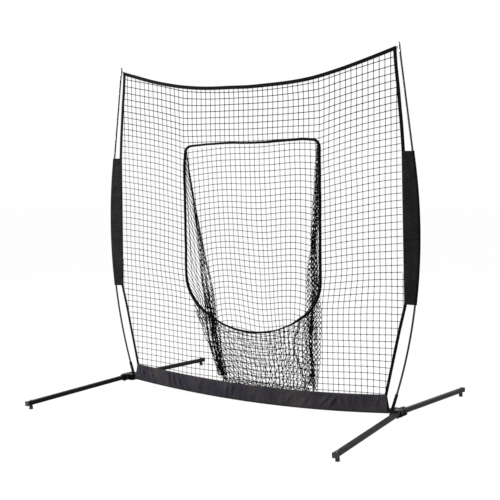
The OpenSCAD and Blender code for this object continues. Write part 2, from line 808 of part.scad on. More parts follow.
module pocket_back() {
    color(twine) difference() {
        intersection() {
            along_width(2 * back_top_half) intersection() {
                translate([back_centre_y, back_centre_z]) difference() {
                    circle(pocket_back_r + pocket_t, $fn = 4 * sweep);
                    circle(pocket_back_r, $fn = 4 * sweep);
                }
                translate([pocket_y, roll_z]) square([pocket_depth * 2, back_top_z - roll_z]);
            }
            upright(4 * pocket_depth) polygon([
                [-back_top_half, back_top_z], [back_top_half, back_top_z],
                [back_low_half, roll_z], [-back_low_half, roll_z]
            ]);
        }
        upright(4 * pocket_depth)
            for (i = [0 : pocket_cols - 1], k = [0 : pocket_rows - 1]) back_gap(i, k);
    }
}

module pocket_front() {
    steps = 10;
    heights = [for (i = [0 : steps]) roll_z + (side_turn_z - roll_z) * i / steps];
    inner = [for (z = heights) [front_x(z) - sewn_gap - pocket_t, z]];
    color(twine) translate([0, pocket_y + pocket_t / 2, 0]) upright(pocket_t) difference() {
        polygon(concat(inner, [for (i = [steps : -1 : 0]) [-inner[i][0], inner[i][1]]]));
        opening(rim_w / 4);
        for (i = [0 : mesh_cols - 1], k = [0 : 2])
            translate([(i - (mesh_cols - 1) / 2) * (front_low_half * 2 / (mesh_cols + 1)),
                       roll_z + (k + 0.5) * (opening_bottom_z - roll_z) / 3])
                square([front_low_half * 2 / (mesh_cols + 1) - 2 * strand_w,
                        (opening_bottom_z - roll_z) / 3 - 4 * strand_w], center = true);
    }
}

module pocket_roll() {
    color(twine) intersection() {
        along_width(2 * front_low_half) translate([roll_y, roll_z]) intersection() {
            difference() {
                circle(roll_r, $fn = sweep);
                circle(roll_r - pocket_t, $fn = sweep);
            }
            translate([-2 * roll_r, -2 * roll_r]) square([4 * roll_r, 2 * roll_r - sewn_gap]);
        }
        linear_extrude(roll_z) polygon([
            [front_low_half - 2 * pocket_t, 0], [roll_half - 2 * pocket_t, roll_y],
            [back_low_half - 2 * pocket_t, pocket_back_y],
            [-back_low_half + 2 * pocket_t, pocket_back_y],
            [-roll_half + 2 * pocket_t, roll_y], [-front_low_half + 2 * pocket_t, 0]
        ]);
    }
}

// A closed sheet of thickness t stretched between two edges of equal point count
module ruled_sheet(front, back, t) {
    n = len(front);
    offsets = [for (i = [0 : n - 1])
        let (d = back[i] - front[i], m = norm([d[0], d[1]])) [d[1], -d[0], 0] * t / 2 / m];
    points = concat(
        [for (i = [0 : n - 1]) front[i] + offsets[i]], [for (i = [0 : n - 1]) back[i] + offsets[i]],
        [for (i = [0 : n - 1]) back[i] - offsets[i]], [for (i = [0 : n - 1]) front[i] - offsets[i]]
    );
    walls = [for (i = [0 : n - 2], c = [0 : 3])
        let (a = c * n + i, b = (c + 1) % 4 * n + i)
            each c < 2 ? [[a, b, a + 1], [b, b + 1, a + 1]] : [[a, b, b + 1], [a, b + 1, a + 1]]];
    ends = [[0, 3 * n, 2 * n], [0, 2 * n, n],
            [n - 1, 2 * n - 1, 3 * n - 1], [n - 1, 3 * n - 1, 4 * n - 1]];
    polyhedron(points, concat(walls, ends));
}

module pocket_side(side) {
    top_z = opening_top_z - opening_top_r * 3;
    heights = [for (i = [0 : pleat_rows]) top_z + (roll_z - top_z) * i / pleat_rows];
    turns = [for (a = [15 : 15 : 75]) a];
    front = concat(
        [for (z = heights) [front_x(z), pocket_y + pocket_t / 2 + sewn_gap, z]],
        [for (a = turns) [front_low_half + (roll_half - front_low_half) * (1 - cos(a)),
                          roll_y - roll_r * cos(a), roll_z - roll_r * sin(a)]]
    );
    back = concat(
        [for (z = heights) [back_half(z) + sewn_gap + pocket_t / 2, back_y(z) + pocket_t, z]],
        [for (a = turns) [back_low_half + (roll_half - back_low_half) * (1 - cos(a)),
                          roll_y + roll_r * cos(a), roll_z - roll_r * sin(a)]]
    );
    color(twine) on_side(side) ruled_sheet(front, back, pocket_t);
}

hub_upper_plate(-1);  // left_hub_upper_plate
hub_upper_plate(1);  // right_hub_upper_plate
hub_lower_plate(-1);  // left_hub_lower_plate
hub_lower_plate(1);  // right_hub_lower_plate
hub_block(-1);  // left_hub_block
hub_block(1);  // right_hub_block
pole_socket(-1);  // left_pole_socket
pole_socket(1);  // right_pole_socket
pivot_bolts();
pivot_nuts();
leg(-1, -1);  // left_front_leg
leg(1, -1);  // right_front_leg
leg(-1, 1);  // left_rear_leg
leg(1, 1);  // right_rear_leg
leg_cap(-1, -1);  // left_front_cap
leg_cap(1, -1);  // right_front_cap
leg_cap(-1, 1);  // left_rear_cap
leg_cap(1, 1);  // right_rear_cap
leg_foot(-1, -1);  // left_front_foot
leg_foot(1, -1);  // right_front_foot
leg_foot(-1, 1);  // left_rear_foot
leg_foot(1, 1);  // right_rear_foot
foot_bolt(-1, -1);  // left_front_foot_bolt
foot_bolt(1, -1);  // right_front_foot_bolt
foot_bolt(-1, 1);  // left_rear_foot_bolt
foot_bolt(1, 1);  // right_rear_foot_bolt
bar_tube(-block_x + bar_end_gap, 0);  // crossbar_left
bar_tube(0, block_x - bar_end_gap);  // crossbar_right
crossbar_coupler();
pole_lower(-1);  // left_pole_lower
pole_lower(1);  // right_pole_lower
pole_middle(-1);  // left_pole_middle
pole_middle(1);  // right_pole_middle
pole_upper(-1);  // left_pole_upper
pole_upper(1);  // right_pole_upper
pole_ferrules();
pole_tip(-1);  // left_pole_tip
pole_tip(1);  // right_pole_tip
sleeve(-1);  // left_sleeve
sleeve(1);  // right_sleeve
skirt();
top_binding();
side_binding(-1);  // left_binding
side_binding(1);  // right_binding
corner_loops();
netting(-bow_x, 0, -split_x, corner_z);  // net_left
netting(split_x, 0, bow_x, corner_z);  // net_right
netting(-split_x, split_z, split_x, corner_z);  // net_top
netting(-split_x, 0, 0, low_split_z);  // net_lower_left
netting(0, 0, split_x, low_split_z);  // net_lower_right
pocket_rim();
pocket_back();
pocket_front();
pocket_roll();
pocket_side(-1);  // pocket_left_side
pocket_side(1);  // pocket_right_side
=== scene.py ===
"""Pitching target net: netting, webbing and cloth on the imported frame, in a plain studio."""

import math
import random

import bpy
import numpy as np
from mathutils import Matrix, Vector


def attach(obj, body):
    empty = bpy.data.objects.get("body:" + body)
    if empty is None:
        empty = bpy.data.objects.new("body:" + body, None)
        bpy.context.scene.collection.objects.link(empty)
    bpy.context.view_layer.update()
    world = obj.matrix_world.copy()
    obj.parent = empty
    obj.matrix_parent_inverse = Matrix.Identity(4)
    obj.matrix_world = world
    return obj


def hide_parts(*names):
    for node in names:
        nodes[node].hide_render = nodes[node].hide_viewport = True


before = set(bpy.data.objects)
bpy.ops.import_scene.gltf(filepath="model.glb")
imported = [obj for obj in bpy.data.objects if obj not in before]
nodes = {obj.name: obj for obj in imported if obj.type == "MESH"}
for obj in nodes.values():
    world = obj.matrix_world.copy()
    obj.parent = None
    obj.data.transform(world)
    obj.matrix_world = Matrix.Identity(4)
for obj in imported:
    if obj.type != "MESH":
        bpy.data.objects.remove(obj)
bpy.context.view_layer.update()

# ---- Sizes of the frame, in metres ----

POLE_FOOT_X = 0.9635
FOOT_LEAN = math.radians(19.2)
LOWER_R = 2.9
MIDDLE_R = 3.05
SECTION_LEN = 0.7
POLE_R = 0.00575
FOOT_Z = 0.0855 + POLE_R * math.sin(FOOT_LEAN)
LOWER_X = POLE_FOOT_X - LOWER_R * math.cos(FOOT_LEAN)
LOWER_Z = FOOT_Z + LOWER_R * math.sin(FOOT_LEAN)
JOINT_OUT = FOOT_LEAN - SECTION_LEN / LOWER_R
MIDDLE_X = LOWER_X + (LOWER_R - MIDDLE_R) * math.cos(JOINT_OUT)
MIDDLE_Z = LOWER_Z - (LOWER_R - MIDDLE_R) * math.sin(JOINT_OUT)
TOP_LEAN = SECTION_LEN / MIDDLE_R - JOINT_OUT
TOP_X = MIDDLE_X + MIDDLE_R * math.cos(TOP_LEAN)
TOP_Z = MIDDLE_Z + MIDDLE_R * math.sin(TOP_LEAN)
JOINT_Z = MIDDLE_Z - MIDDLE_R * math.sin(JOINT_OUT)

BAR_HALF = 0.9365
BAR_MID_Z = 0.020
BAR_SAG = 0.046
BAR_ARC_R = (BAR_HALF ** 2 + BAR_SAG ** 2) / (2 * BAR_SAG)
BAR_ARC_Z = BAR_MID_Z + BAR_ARC_R
SKIRT_RISE = 0.092

CORNER_Z = 2.097
CORNER_GAP = 0.018
TOP_SAG = 0.142
SLEEVE_TOP = 1.530
SLEEVE_BOTTOM = 0.680
SLEEVE_W = 0.066
NET_BOTTOM_X = BAR_HALF - 0.011

OPENING_HALF = 0.4945
OPENING_TOP = 1.597
OPENING_BOTTOM = 0.445
OPENING_TOP_R = 0.038
OPENING_SIDE_R = 0.257
OPENING_BOTTOM_R = 0.637
RIM_W = 0.006
RIM_T = 0.018

TWINE_R = 0.0016
KNOT_R = 0.0038
KNOT_HALF = 0.0042
MESH_W = 0.0355
MESH_H = 0.0370


def pole_x(z):
    if z < JOINT_Z:
        return LOWER_X + math.sqrt(LOWER_R ** 2 - (LOWER_Z - z) ** 2)
    if z < TOP_Z:
        return MIDDLE_X + math.sqrt(MIDDLE_R ** 2 - (z - MIDDLE_Z) ** 2)
    return TOP_X - (z - TOP_Z) * math.tan(TOP_LEAN)


CORNER_X = pole_x(CORNER_Z) - CORNER_GAP
SEAM_TOP_X = pole_x(SLEEVE_TOP) - SLEEVE_W
SEAM_BOTTOM_X = pole_x(SLEEVE_BOTTOM) - SLEEVE_W


EDGE_LIFT = [(-0.95, 0.000), (-0.84, -0.002), (-0.70, -0.009), (-0.55, -0.010), (-0.41, -0.011),
             (-0.26, -0.005), (-0.12, -0.001), (0.03, -0.004), (0.17, -0.003), (0.32, -0.007),
             (0.46, -0.010), (0.61, -0.002), (0.75, 0.005), (0.90, 0.009), (0.98, 0.010)]


def skirt_top_z(x):
    return BAR_ARC_Z - math.sqrt((BAR_ARC_R - SKIRT_RISE) ** 2 - x * x)


def upper_edge_z(x):
    return CORNER_Z - TOP_SAG * (1 - (x / CORNER_X) ** 2) + smooth(EDGE_LIFT, x)


NET_BOTTOM_Z = skirt_top_z(NET_BOTTOM_X)


def line(table, v):
    """Value at v of a line through (v, value) pairs in rising order of v."""
    if v <= table[0][0]:
        return table[0][1]
    for (a, fa), (b, fb) in zip(table, table[1:]):
        if v <= b:
            return fa + (fb - fa) * (v - a) / (b - a)
    return table[-1][1]


def smooth(table, v):
    """Like line, with rounded turns at the points."""
    reach = 0.04
    return sum(line(table, v + d * reach) for d in (-1.5, -0.75, 0, 0.75, 1.5)) / 5


def clamp(v):
    """v held within 0 to 1."""
    return min(1.0, max(0.0, v))


def ease(low, high, v):
    """0 below low, 1 above high, with a smooth turn between."""
    share = clamp((v - low) / (high - low))
    return share * share * (3 - 2 * share)


SIDE_LINE = [
    (NET_BOTTOM_Z, NET_BOTTOM_X), (SLEEVE_BOTTOM, SEAM_BOTTOM_X), (SLEEVE_TOP, SEAM_TOP_X),
    (CORNER_Z, CORNER_X),
]


def side_x(z):
    return line(SIDE_LINE, z)


SIDE_CX = OPENING_HALF - OPENING_SIDE_R
BOTTOM_CZ = OPENING_BOTTOM + OPENING_BOTTOM_R
SIDE_CZ = BOTTOM_CZ - math.sqrt((OPENING_BOTTOM_R - OPENING_SIDE_R) ** 2 - SIDE_CX ** 2)
TURN = math.atan2(SIDE_CZ - BOTTOM_CZ, SIDE_CX)


def opening_path(grow):
    """Closed outline of the opening, a U with tight top corners, clockwise."""
    def arc(cx, cz, r, start, end, count):
        return [(cx + r * math.cos(a), cz + r * math.sin(a))
                for a in np.linspace(start, end, count)]
    tx, tz = OPENING_HALF - OPENING_TOP_R, OPENING_TOP - OPENING_TOP_R
    def straight(a, b, count):
        return [(a[0] + (b[0] - a[0]) * i / count, a[1] + (b[1] - a[1]) * i / count)
                for i in range(1, count)]
    left_top = arc(-tx, tz, OPENING_TOP_R + grow, math.pi, math.pi / 2, 8)
    right_top = arc(tx, tz, OPENING_TOP_R + grow, math.pi / 2, 0, 8)
    right_side = arc(SIDE_CX, SIDE_CZ, OPENING_SIDE_R + grow, 0, TURN, 16)
    bottom = arc(0, BOTTOM_CZ, OPENING_BOTTOM_R + grow, TURN, -math.pi - TURN, 60)
    left_side = arc(-SIDE_CX, SIDE_CZ, OPENING_SIDE_R + grow, -math.pi - TURN, -math.pi, 16)
    return (left_top + straight(left_top[-1], right_top[0], 48) + right_top
            + straight(right_top[-1], right_side[0], 40) + right_side + bottom[1:-1] + left_side
            + straight(left_side[-1], left_top[0], 40))


def opening_half(z, grow):
    """Half of the width of the opening at a height, or -1 above and below it."""
    top_z = OPENING_TOP - OPENING_TOP_R
    turn_z = SIDE_CZ + (OPENING_SIDE_R + grow) * math.sin(TURN)
    if z >= OPENING_TOP + grow or z <= OPENING_BOTTOM - grow:
        return -1
    if z > top_z:
        return OPENING_HALF - OPENING_TOP_R + math.sqrt(
            (OPENING_TOP_R + grow) ** 2 - (z - top_z) ** 2)
    if z > SIDE_CZ:
        return OPENING_HALF + grow
    if z > turn_z:
        return SIDE_CX + math.sqrt((OPENING_SIDE_R + grow) ** 2 - (z - SIDE_CZ) ** 2)
    return math.sqrt((OPENING_BOTTOM_R + grow) ** 2 - (BOTTOM_CZ - z) ** 2)


RIM_LIFT = [(-0.50, -0.008), (-0.40, -0.001), (-0.28, 0.006), (-0.12, 0.009), (0.0, 0.003),
            (0.10, 0.004), (0.22, 0.009), (0.36, 0.017), (0.44, 0.016), (0.50, 0.002)]


def rim_lift(x, z):
    """How far the slack top of the opening's binding stands over a straight line."""
    return smooth(RIM_LIFT, x) * max(0.0, 1 - abs(z - OPENING_TOP) / 0.10)


def rim_inset(x, z):
    """How far the left top corner of the binding is drawn in."""
    return 0.012 * ease(OPENING_TOP - 0.13, OPENING_TOP, z) * ease(-0.42, -0.48, x)


def rim_z(x):
    """Height of the lower edge of the opening's binding at a place across."""
    low, high = OPENING_BOTTOM - RIM_W, SIDE_CZ
    for _ in range(30):
        mid = (low + high) / 2
        if opening_half(mid, RIM_W) < abs(x):
            low = mid
        else:
            high = mid
    return low


class Ripple:
    """A smooth random wave over two directions, within -1 to 1."""

    def __init__(self, seed, length, count=5):
        dice = random.Random(seed)
        self.waves = []
        for _ in range(count):
            turn = dice.uniform(0, 2 * math.pi)
            k = 2 * math.pi / (length * dice.uniform(0.7, 1.5))
            self.waves.append((k * math.cos(turn), k * math.sin(turn), dice.uniform(0, 6.28)))

    def __call__(self, a, b):
        return sum(math.sin(p * a + q * b + r) for p, q, r in self.waves) / len(self.waves)


# ---- Making meshes ----

def mesh_piece(name, verts, faces, uvs, smooth_shade=True):
    """A mesh object from vertices, faces and the UV of each corner of each face."""
    mesh = bpy.data.meshes.new(name)
    mesh.from_pydata(verts, [], faces)
    layer = mesh.uv_layers.new(name="UVMap")
    layer.data.foreach_set("uv", np.asarray(uvs, np.float32).ravel())
    mesh.polygons.foreach_set("use_smooth", [smooth_shade] * len(mesh.polygons))
    mesh.validate()
    mesh.update()
    piece = bpy.data.objects.new(name, mesh)
    bpy.context.scene.collection.objects.link(piece)
    return piece


def tubes(name, strings, sides=4):
    """One piece of many closed tubes. Each string is a list of (point, radius)."""
    verts, faces, uvs = [], [], []
    turns = [(math.cos(2 * math.pi * i / sides), math.sin(2 * math.pi * i / sides))
             for i in range(sides)]
    for string in strings:
        points = np.array([p for p, _ in string])
        steps = np.diff(points, axis=0)
        lengths = np.linalg.norm(steps, axis=1)
        keep = np.concatenate([[True], lengths > 1e-6])
        points = points[keep]
        radii = np.array([r for _, r in string])[keep]
        if len(points) < 2:
            continue
        steps = np.diff(points, axis=0)
        lengths = np.linalg.norm(steps, axis=1)
        along = np.concatenate([[0], np.cumsum(lengths)])
        steps /= lengths[:, None]
        tangents = np.concatenate([steps[:1], steps[:-1] + steps[1:], steps[-1:]])
        tangents /= np.linalg.norm(tangents, axis=1)[:, None]
        start = np.array([0.0, 1.0, 0.0]) if abs(tangents[0][1]) < 0.9 else np.array([1.0, 0, 0])
        first = len(verts)
        normal = start
        for i, tangent in enumerate(tangents):
            normal = normal - tangent * np.dot(normal, tangent)
            normal = normal / np.linalg.norm(normal)
            side = np.cross(tangent, normal)
            for c, s in turns:
                verts.append(tuple(points[i] + radii[i] * (c * normal + s * side)))
        n = len(points)
        for i in range(n - 1):
            for j in range(sides):
                a = first + i * sides + j
                b = first + i * sides + (j + 1) % sides
                faces.append((a, b, b + sides, a + sides))
                u, w = j / sides, (j + 1) / sides
                uvs += [(u, along[i]), (w, along[i]), (w, along[i + 1]), (u, along[i + 1])]
        faces.append(tuple(first + j for j in reversed(range(sides))))
        faces.append(tuple(first + (n - 1) * sides + j for j in range(sides)))
        uvs += [(0.5, along[0])] * sides + [(0.5, along[-1])] * sides
    return mesh_piece(name, verts, faces, uvs)


def webbing_strip(name, path, width, depth, closed=False, broad=lambda x, z: 1.0):
    """A strap with rounded edges along a path of (x, y, z), broad(x, z) times as wide as width."""
    section = []
    for corner, (a, b) in enumerate(((1, 1), (-1, 1), (-1, -1), (1, -1))):
        for turn in (0, 30, 60, 90):
            angle = math.radians(corner * 90 + turn)
            r = min(width, depth) * 0.42
            section.append((a * (width / 2 - r) + r * math.cos(angle),
                            b * (depth / 2 - r) + r * math.sin(angle)))
    sides = len(section)
    around = np.cumsum([0] + [math.dist(section[i - 1], section[i % sides])
                              for i in range(1, sides + 1)])
    points = np.array(path)
    ahead = np.roll(points, -1, axis=0) - points
    behind = points - np.roll(points, 1, axis=0)
    if not closed:
        ahead[-1], behind[0] = behind[-1], ahead[0]
    tangents = ahead / np.linalg.norm(ahead, axis=1)[:, None] \
        + behind / np.linalg.norm(behind, axis=1)[:, None]
    tangents[:, 1] = 0
    tangents /= np.linalg.norm(tangents, axis=1)[:, None]
    along = np.concatenate([[0], np.cumsum(np.linalg.norm(
        np.diff(np.concatenate([points, points[:1]]), axis=0), axis=1))])
    verts, faces, uvs = [], [], []
    for point, (tx, _, tz) in zip(points, tangents):
        grow = broad(point[0], point[2])
        for a, b in section:
            verts.append((point[0] - tz * a * grow, point[1] + b, point[2] + tx * a * grow))
    n = len(points)
    for i in range(n if closed else n - 1):
        for j in range(sides):
            a, b = i * sides + j, i * sides + (j + 1) % sides
            c, d = (i + 1) % n * sides + (j + 1) % sides, (i + 1) % n * sides + j
            faces.append((a, b, c, d))
            uvs += [(around[j], along[i]), (around[j + 1], along[i]),
                    (around[j + 1], along[i + 1]), (around[j], along[i + 1])]
    if not closed:
        faces.append(tuple(reversed(range(sides))))
        faces.append(tuple((n - 1) * sides + j for j in range(sides)))
        uvs += [(0, 0)] * 2 * sides
    return mesh_piece(name, verts, faces, uvs)


def only(piece):
    """Selects one piece and no other."""
    bpy.ops.object.select_all(action="DESELECT")
    bpy.context.view_layer.objects.active = piece
    piece.select_set(True)


def outward(piece):
    """Turns all faces outward."""
    only(piece)
    bpy.ops.object.mode_set(mode="EDIT")
    bpy.ops.mesh.select_all(action="SELECT")
    bpy.ops.mesh.normals_make_consistent(inside=False)
    bpy.ops.object.mode_set(mode="OBJECT")
    piece.select_set(False)


def apply_modifiers(piece):
    """Makes a piece's modifiers part of its mesh."""
    only(piece)
    for modifier in list(piece.modifiers):
        bpy.ops.object.modifier_apply(modifier=modifier.name)
    piece.select_set(False)


# ---- Strings of the netting ----

def knotted(place, first, last, inside, pitch=MESH_W):
    """Runs of string along place(t), with a knot at each whole t, cut where inside(point) ends."""
    lead = KNOT_HALF / pitch
    samples = []
    for k in range(first, last + 1):
        samples += [(k - lead, TWINE_R), (k, KNOT_R), (k + lead, TWINE_R), (k + 0.5, TWINE_R)]
    runs, run = [], []
    previous = None
    for t, radius in samples:
        point = place(t)
        now = inside(point)
        if previous is not None and now != previous[2]:
            a, b = previous[0], t
            for _ in range(10):
                mid = (a + b) / 2
                if inside(place(mid)) == previous[2]:
                    a = mid
                else:
                    b = mid
            edge = (place(a if previous[2] else b), TWINE_R)
            if now:
                run = [edge]
            else:
                run.append(edge)
                runs.append(run)
                run = []
        if now:
            run.append((point, radius))
        previous = (t, point, now)
    if len(run) > 1:
        runs.append(run)
    return [r for r in runs if len(r) > 1]


def thickened(strings, factor):
    """The strings with each radius times factor(point)."""
    return [[(p, r * factor(p)) for p, r in string] for string in strings]


# ---- Main netting ----

row_wave = Ripple(3, 0.34)
column_wave = Ripple(5, 0.45)
drape_wave = Ripple(8, 0.6)
BASE_Z = 0.100
KINK_X = 0.5
WING = 0.48
NET_COLUMNS = 31
NET_ROWS = 55


def wing_rise(base):
    """How far a row climbs from the opening's side to the edge of the netting."""
    return 0.020 + 0.087 / (1 + math.exp(-(base - 0.93) / 0.26))


def net_point(s, t):
    """Where column s and row t of the main netting meet."""
    x = s * MESH_W
    across = abs(x)
    base = BASE_Z + t * MESH_H
    run = (across - KINK_X) / WING
    run = 0.5 * (run + math.sqrt(run * run + 0.03 ** 2))
    curl = 0.40 - 0.25 * ease(1.5, 1.9, base)
    rise = wing_rise(base) * ((1 + curl) * run - curl * run * run)
    from_top = max(-0.02, upper_edge_z(0) - base)
    rise += 0.040 * math.exp(-from_top / 0.12) * min(1.0, (across / KINK_X) ** 2)
    z = base + rise
    pinch = 0.024 * (1 - ease(0.60, 0.88, z)) * min(1.0, across / 0.45) * (
        1 - ease(0.66, 1.0, across)) - 0.006 * ease(1.3, 1.5, z) * (1 - ease(1.7, 1.9, z)) * ease(
            0.5, 0.55, across) * (1 - ease(0.7, 0.95, across))
    x -= math.copysign(pinch, x)
    calm = clamp((side_x(z) - across) / 0.10) * clamp((upper_edge_z(x) - z) / 0.10)
    calm *= clamp((z - 0.15) / 0.10)
    z += 0.0042 * row_wave(x, z) * calm
    x += 0.0024 * column_wave(x, z) * calm
    half = opening_half(z, RIM_W)
    rim_calm = clamp((across - half) / 0.08) if half > 0 else min(
        1.0, max(0.0, z - OPENING_TOP) / 0.08 if z > OPENING_TOP else (OPENING_BOTTOM - z) / 0.08)
    y = 0.008 * drape_wave(x, z) * calm * rim_calm
    return (x, y, z)


BAND_HALF = 0.006


def in_net(point):
    x, _, z = point
    across = abs(x)
    if z > upper_edge_z(x) - BAND_HALF or z < skirt_top_z(x) - 0.004:
        return False
    if across > side_x(z) - 0.004:
        return False
    return abs(x - rim_inset(x, z)) > opening_half(z - rim_lift(x, z), RIM_W / 2)


def net_panel(name, keep):
    """Columns and rows of the main netting inside one panel."""
    def inside(point):
        return in_net(point) and keep(point)
    strings = []
    for j in range(-NET_COLUMNS, NET_COLUMNS + 1):
        strings += knotted(lambda t: net_point(j, t), -1, NET_ROWS, inside, MESH_H)
    for k in range(-1, NET_ROWS + 1):
        strings += knotted(lambda s: net_point(s, k), -NET_COLUMNS - 1, NET_COLUMNS + 1, inside)
    return tubes(name, thickened(strings, lambda p: 1 + 0.3 * ease(1.5, 1.85, p[2])))


SPLIT_X = OPENING_HALF + RIM_W / 2
panels = {
    "netting_left": lambda p: p[0] < -SPLIT_X,
    "netting_right": lambda p: p[0] > SPLIT_X,
    "netting_top": lambda p: abs(p[0]) <= SPLIT_X and p[2] > 1.0,
    "netting_lower": lambda p: abs(p[0]) <= SPLIT_X and p[2] <= 1.0,
}
net_pieces = {name: net_panel(name, keep) for name, keep in panels.items()}

# ---- Pocket ----

GATHER_X = [(0.10, 0.322), (0.14, 0.330), (0.325, 0.351), (0.61, 0.382), (0.925, 0.416),
            (1.60, 0.490)]
GATHER_Y = [(0.10, 0.178), (0.14, 0.174), (0.325, 0.151), (0.61, 0.131), (0.925, 0.095),
            (1.2, 0.059), (1.35, 0.038), (1.60, 0.006)]
BACK_Y = [(0.10, 0.188), (0.14, 0.184), (0.30, 0.156), (0.40, 0.140), (0.57, 0.122),
          (0.73, 0.106), (0.90, 0.086), (1.05, 0.070), (1.20, 0.054), (1.35, 0.036),
          (1.60, 0.008)]
LEAN = [(0.10, -0.013), (0.30, -0.025), (0.57, -0.035), (0.90, -0.0345), (1.20, -0.024),
        (1.35, -0.015), (1.60, 0.0)]
SWING = [(0.10, 0.0), (0.325, 0.004), (0.61, 0.011), (0.925, 0.010), (1.2, 0.004), (1.6, 0.0)]
BAND_IN = [(0.10, 0.022), (0.14, 0.025), (0.30, 0.030), (0.63, 0.035), (0.87, 0.025),
           (0.99, 0.015), (1.2, 0.010), (1.5, 0.004), (1.6, 0.001)]
BAND_OUT = [(0.10, 0.045), (0.14, 0.050), (0.325, 0.068), (0.61, 0.060), (0.87, 0.025),
            (0.99, 0.015), (1.2, 0.008), (1.5, 0.003), (1.6, 0.001)]
POCKET_Y = 0.008
POCKET_LOW = 0.080
BACK_TOP = OPENING_TOP + RIM_W

back_row_wave = Ripple(21, 0.40)
back_column_wave = Ripple(22, 0.30)
back_wave = Ripple(23, 0.35)
BACK_PITCH = 0.0360
BACK_COLUMNS = 13
BACK_ROWS = 41


def back_rise(x, z, left_edge, right_edge):
    """Rise and fall of a row of the back wall, which hangs in two shallow swags."""
    low = min(1.1, max(0.0, (1.5 - z) / 0.9))
    swag = (0.004 + 0.007 * low) * math.cos(2 * math.pi * (x + 0.17) / 0.48)
    tilt = 0.010 * x / 0.35 * (1 - low)
    left = (0.012 + 0.022 * low) * math.exp(-max(0.0, left_edge) / 0.045)
    right = (0.006 + 0.012 * low) * math.exp(-max(0.0, right_edge) / 0.040)
    return swag + tilt - left - right


def back_point(s, t):
    """Where column s and row t of the back wall meet."""
    x = s * BACK_PITCH
    base = 0.062 + t * MESH_H
    low = min(1.1, max(0.0, (1.5 - base) / 0.93))
    x += 0.004 * low - 0.055 * low * low * ease(0.02, 0.36, x)
    lean = smooth(LEAN, base)
    middle = smooth(SWING, base)
    gather = smooth(GATHER_X, base)
    share = min(1.0, abs(x - middle) / gather)
    near, far = smooth(GATHER_Y, base), smooth(BACK_Y, base)
    y = near + (far - near) * (1 - share ** 2.4)
    z = base + back_rise(x + 0.69 * y + lean, base, gather + x - middle, gather - x + middle)
    z = min(z, BACK_TOP + rim_lift(x, OPENING_TOP) - 0.002)
    edge = gather - abs(x - middle)
    calm = min(1.0, max(0.0, BACK_TOP - z) / 0.15) * min(1.0, max(0.0, edge) / 0.06)
    z += 0.0040 * back_row_wave(x, z) * calm
    x += 0.0030 * back_column_wave(x, z) * calm
    y += 0.006 * back_wave(x, z) * calm
    return (x + lean, y, z)


def in_back(point):
    x, _, z = point
    middle = smooth(SWING, z) + smooth(LEAN, z)
    top = BACK_TOP + rim_lift(x, OPENING_TOP)
    return POCKET_LOW < z < top - 0.004 and abs(x - middle) < smooth(GATHER_X, z) + 0.002


back_strings = []
for j in range(-BACK_COLUMNS, BACK_COLUMNS + 1):
    back_strings += knotted(lambda t: back_point(j, t), 0, BACK_ROWS, in_back, MESH_H)
for k in range(0, BACK_ROWS + 1):
    back_strings += knotted(lambda s: back_point(s, k), -BACK_COLUMNS - 1, BACK_COLUMNS + 1,
                            in_back)
pocket_back = tubes("pocket_back_netting", back_strings)

side_wave = Ripple(31, 0.2)


def rim_edge_x(z):
    """Half width of the rim beside the side walls, held past the turn into the U."""
    return opening_half(max(z, 0.62), RIM_W / 2)


def side_point(side, v, t):
    """Side wall of the pocket: v from the rim to the gather, rows slanting down to the gather."""
    base = 0.10 + t * MESH_H
    width = math.hypot(rim_edge_x(base) - smooth(GATHER_X, base), smooth(GATHER_Y, base))
    z = base - 2.1 * width * max(0.0, v) ** 1.15
    rim = rim_edge_x(z)
    middle = smooth(SWING, z) + smooth(LEAN, z)
    x = rim + (smooth(GATHER_X, z) - rim) * v + side * middle * v
    y = POCKET_Y + (smooth(GATHER_Y, z) - POCKET_Y) * v
    y += 0.008 * side_wave(v * 0.1, z) * math.sin(math.pi * v)
    return (side * x, y, z)


def in_side(point):
    return 0.45 < point[2] < 1.56


SIDE_COLUMNS = 4
SIDE_LOW_ROW, SIDE_TOP_ROW = 12, 42
side_pieces = []
for side, side_name in ((-1, "left"), (1, "right")):
    strings = []
    for k in range(SIDE_LOW_ROW, SIDE_TOP_ROW):
        strings += knotted(lambda v: side_point(side, v / SIDE_COLUMNS, k), 0, SIDE_COLUMNS,
                           in_side, 0.04)
    for i in range(1, SIDE_COLUMNS):
        strings += knotted(lambda t: side_point(side, i / SIDE_COLUMNS, t), SIDE_LOW_ROW,
                           SIDE_TOP_ROW, in_side, MESH_H)
    side_pieces.append(tubes("pocket_%s_side_netting" % side_name, strings))

# Gathers: the surplus netting of the side walls drawn into a bunch of pleats
GATHER_SPREAD = (0.0, 0.26, 0.38, 0.46, 0.54, 0.66, 0.84, 1.0)
BUNDLE = (0, 0, 1, 1, 1, 2, 2, 2)
BUNDLE_SPREAD = (0.10, 0.50, 0.88)
GATHER_STRANDS = len(GATHER_SPREAD)
PLEAT_STEP = 0.033
PLEATS = 50
CORE_STEPS = 22
STRAND_R = 0.00175


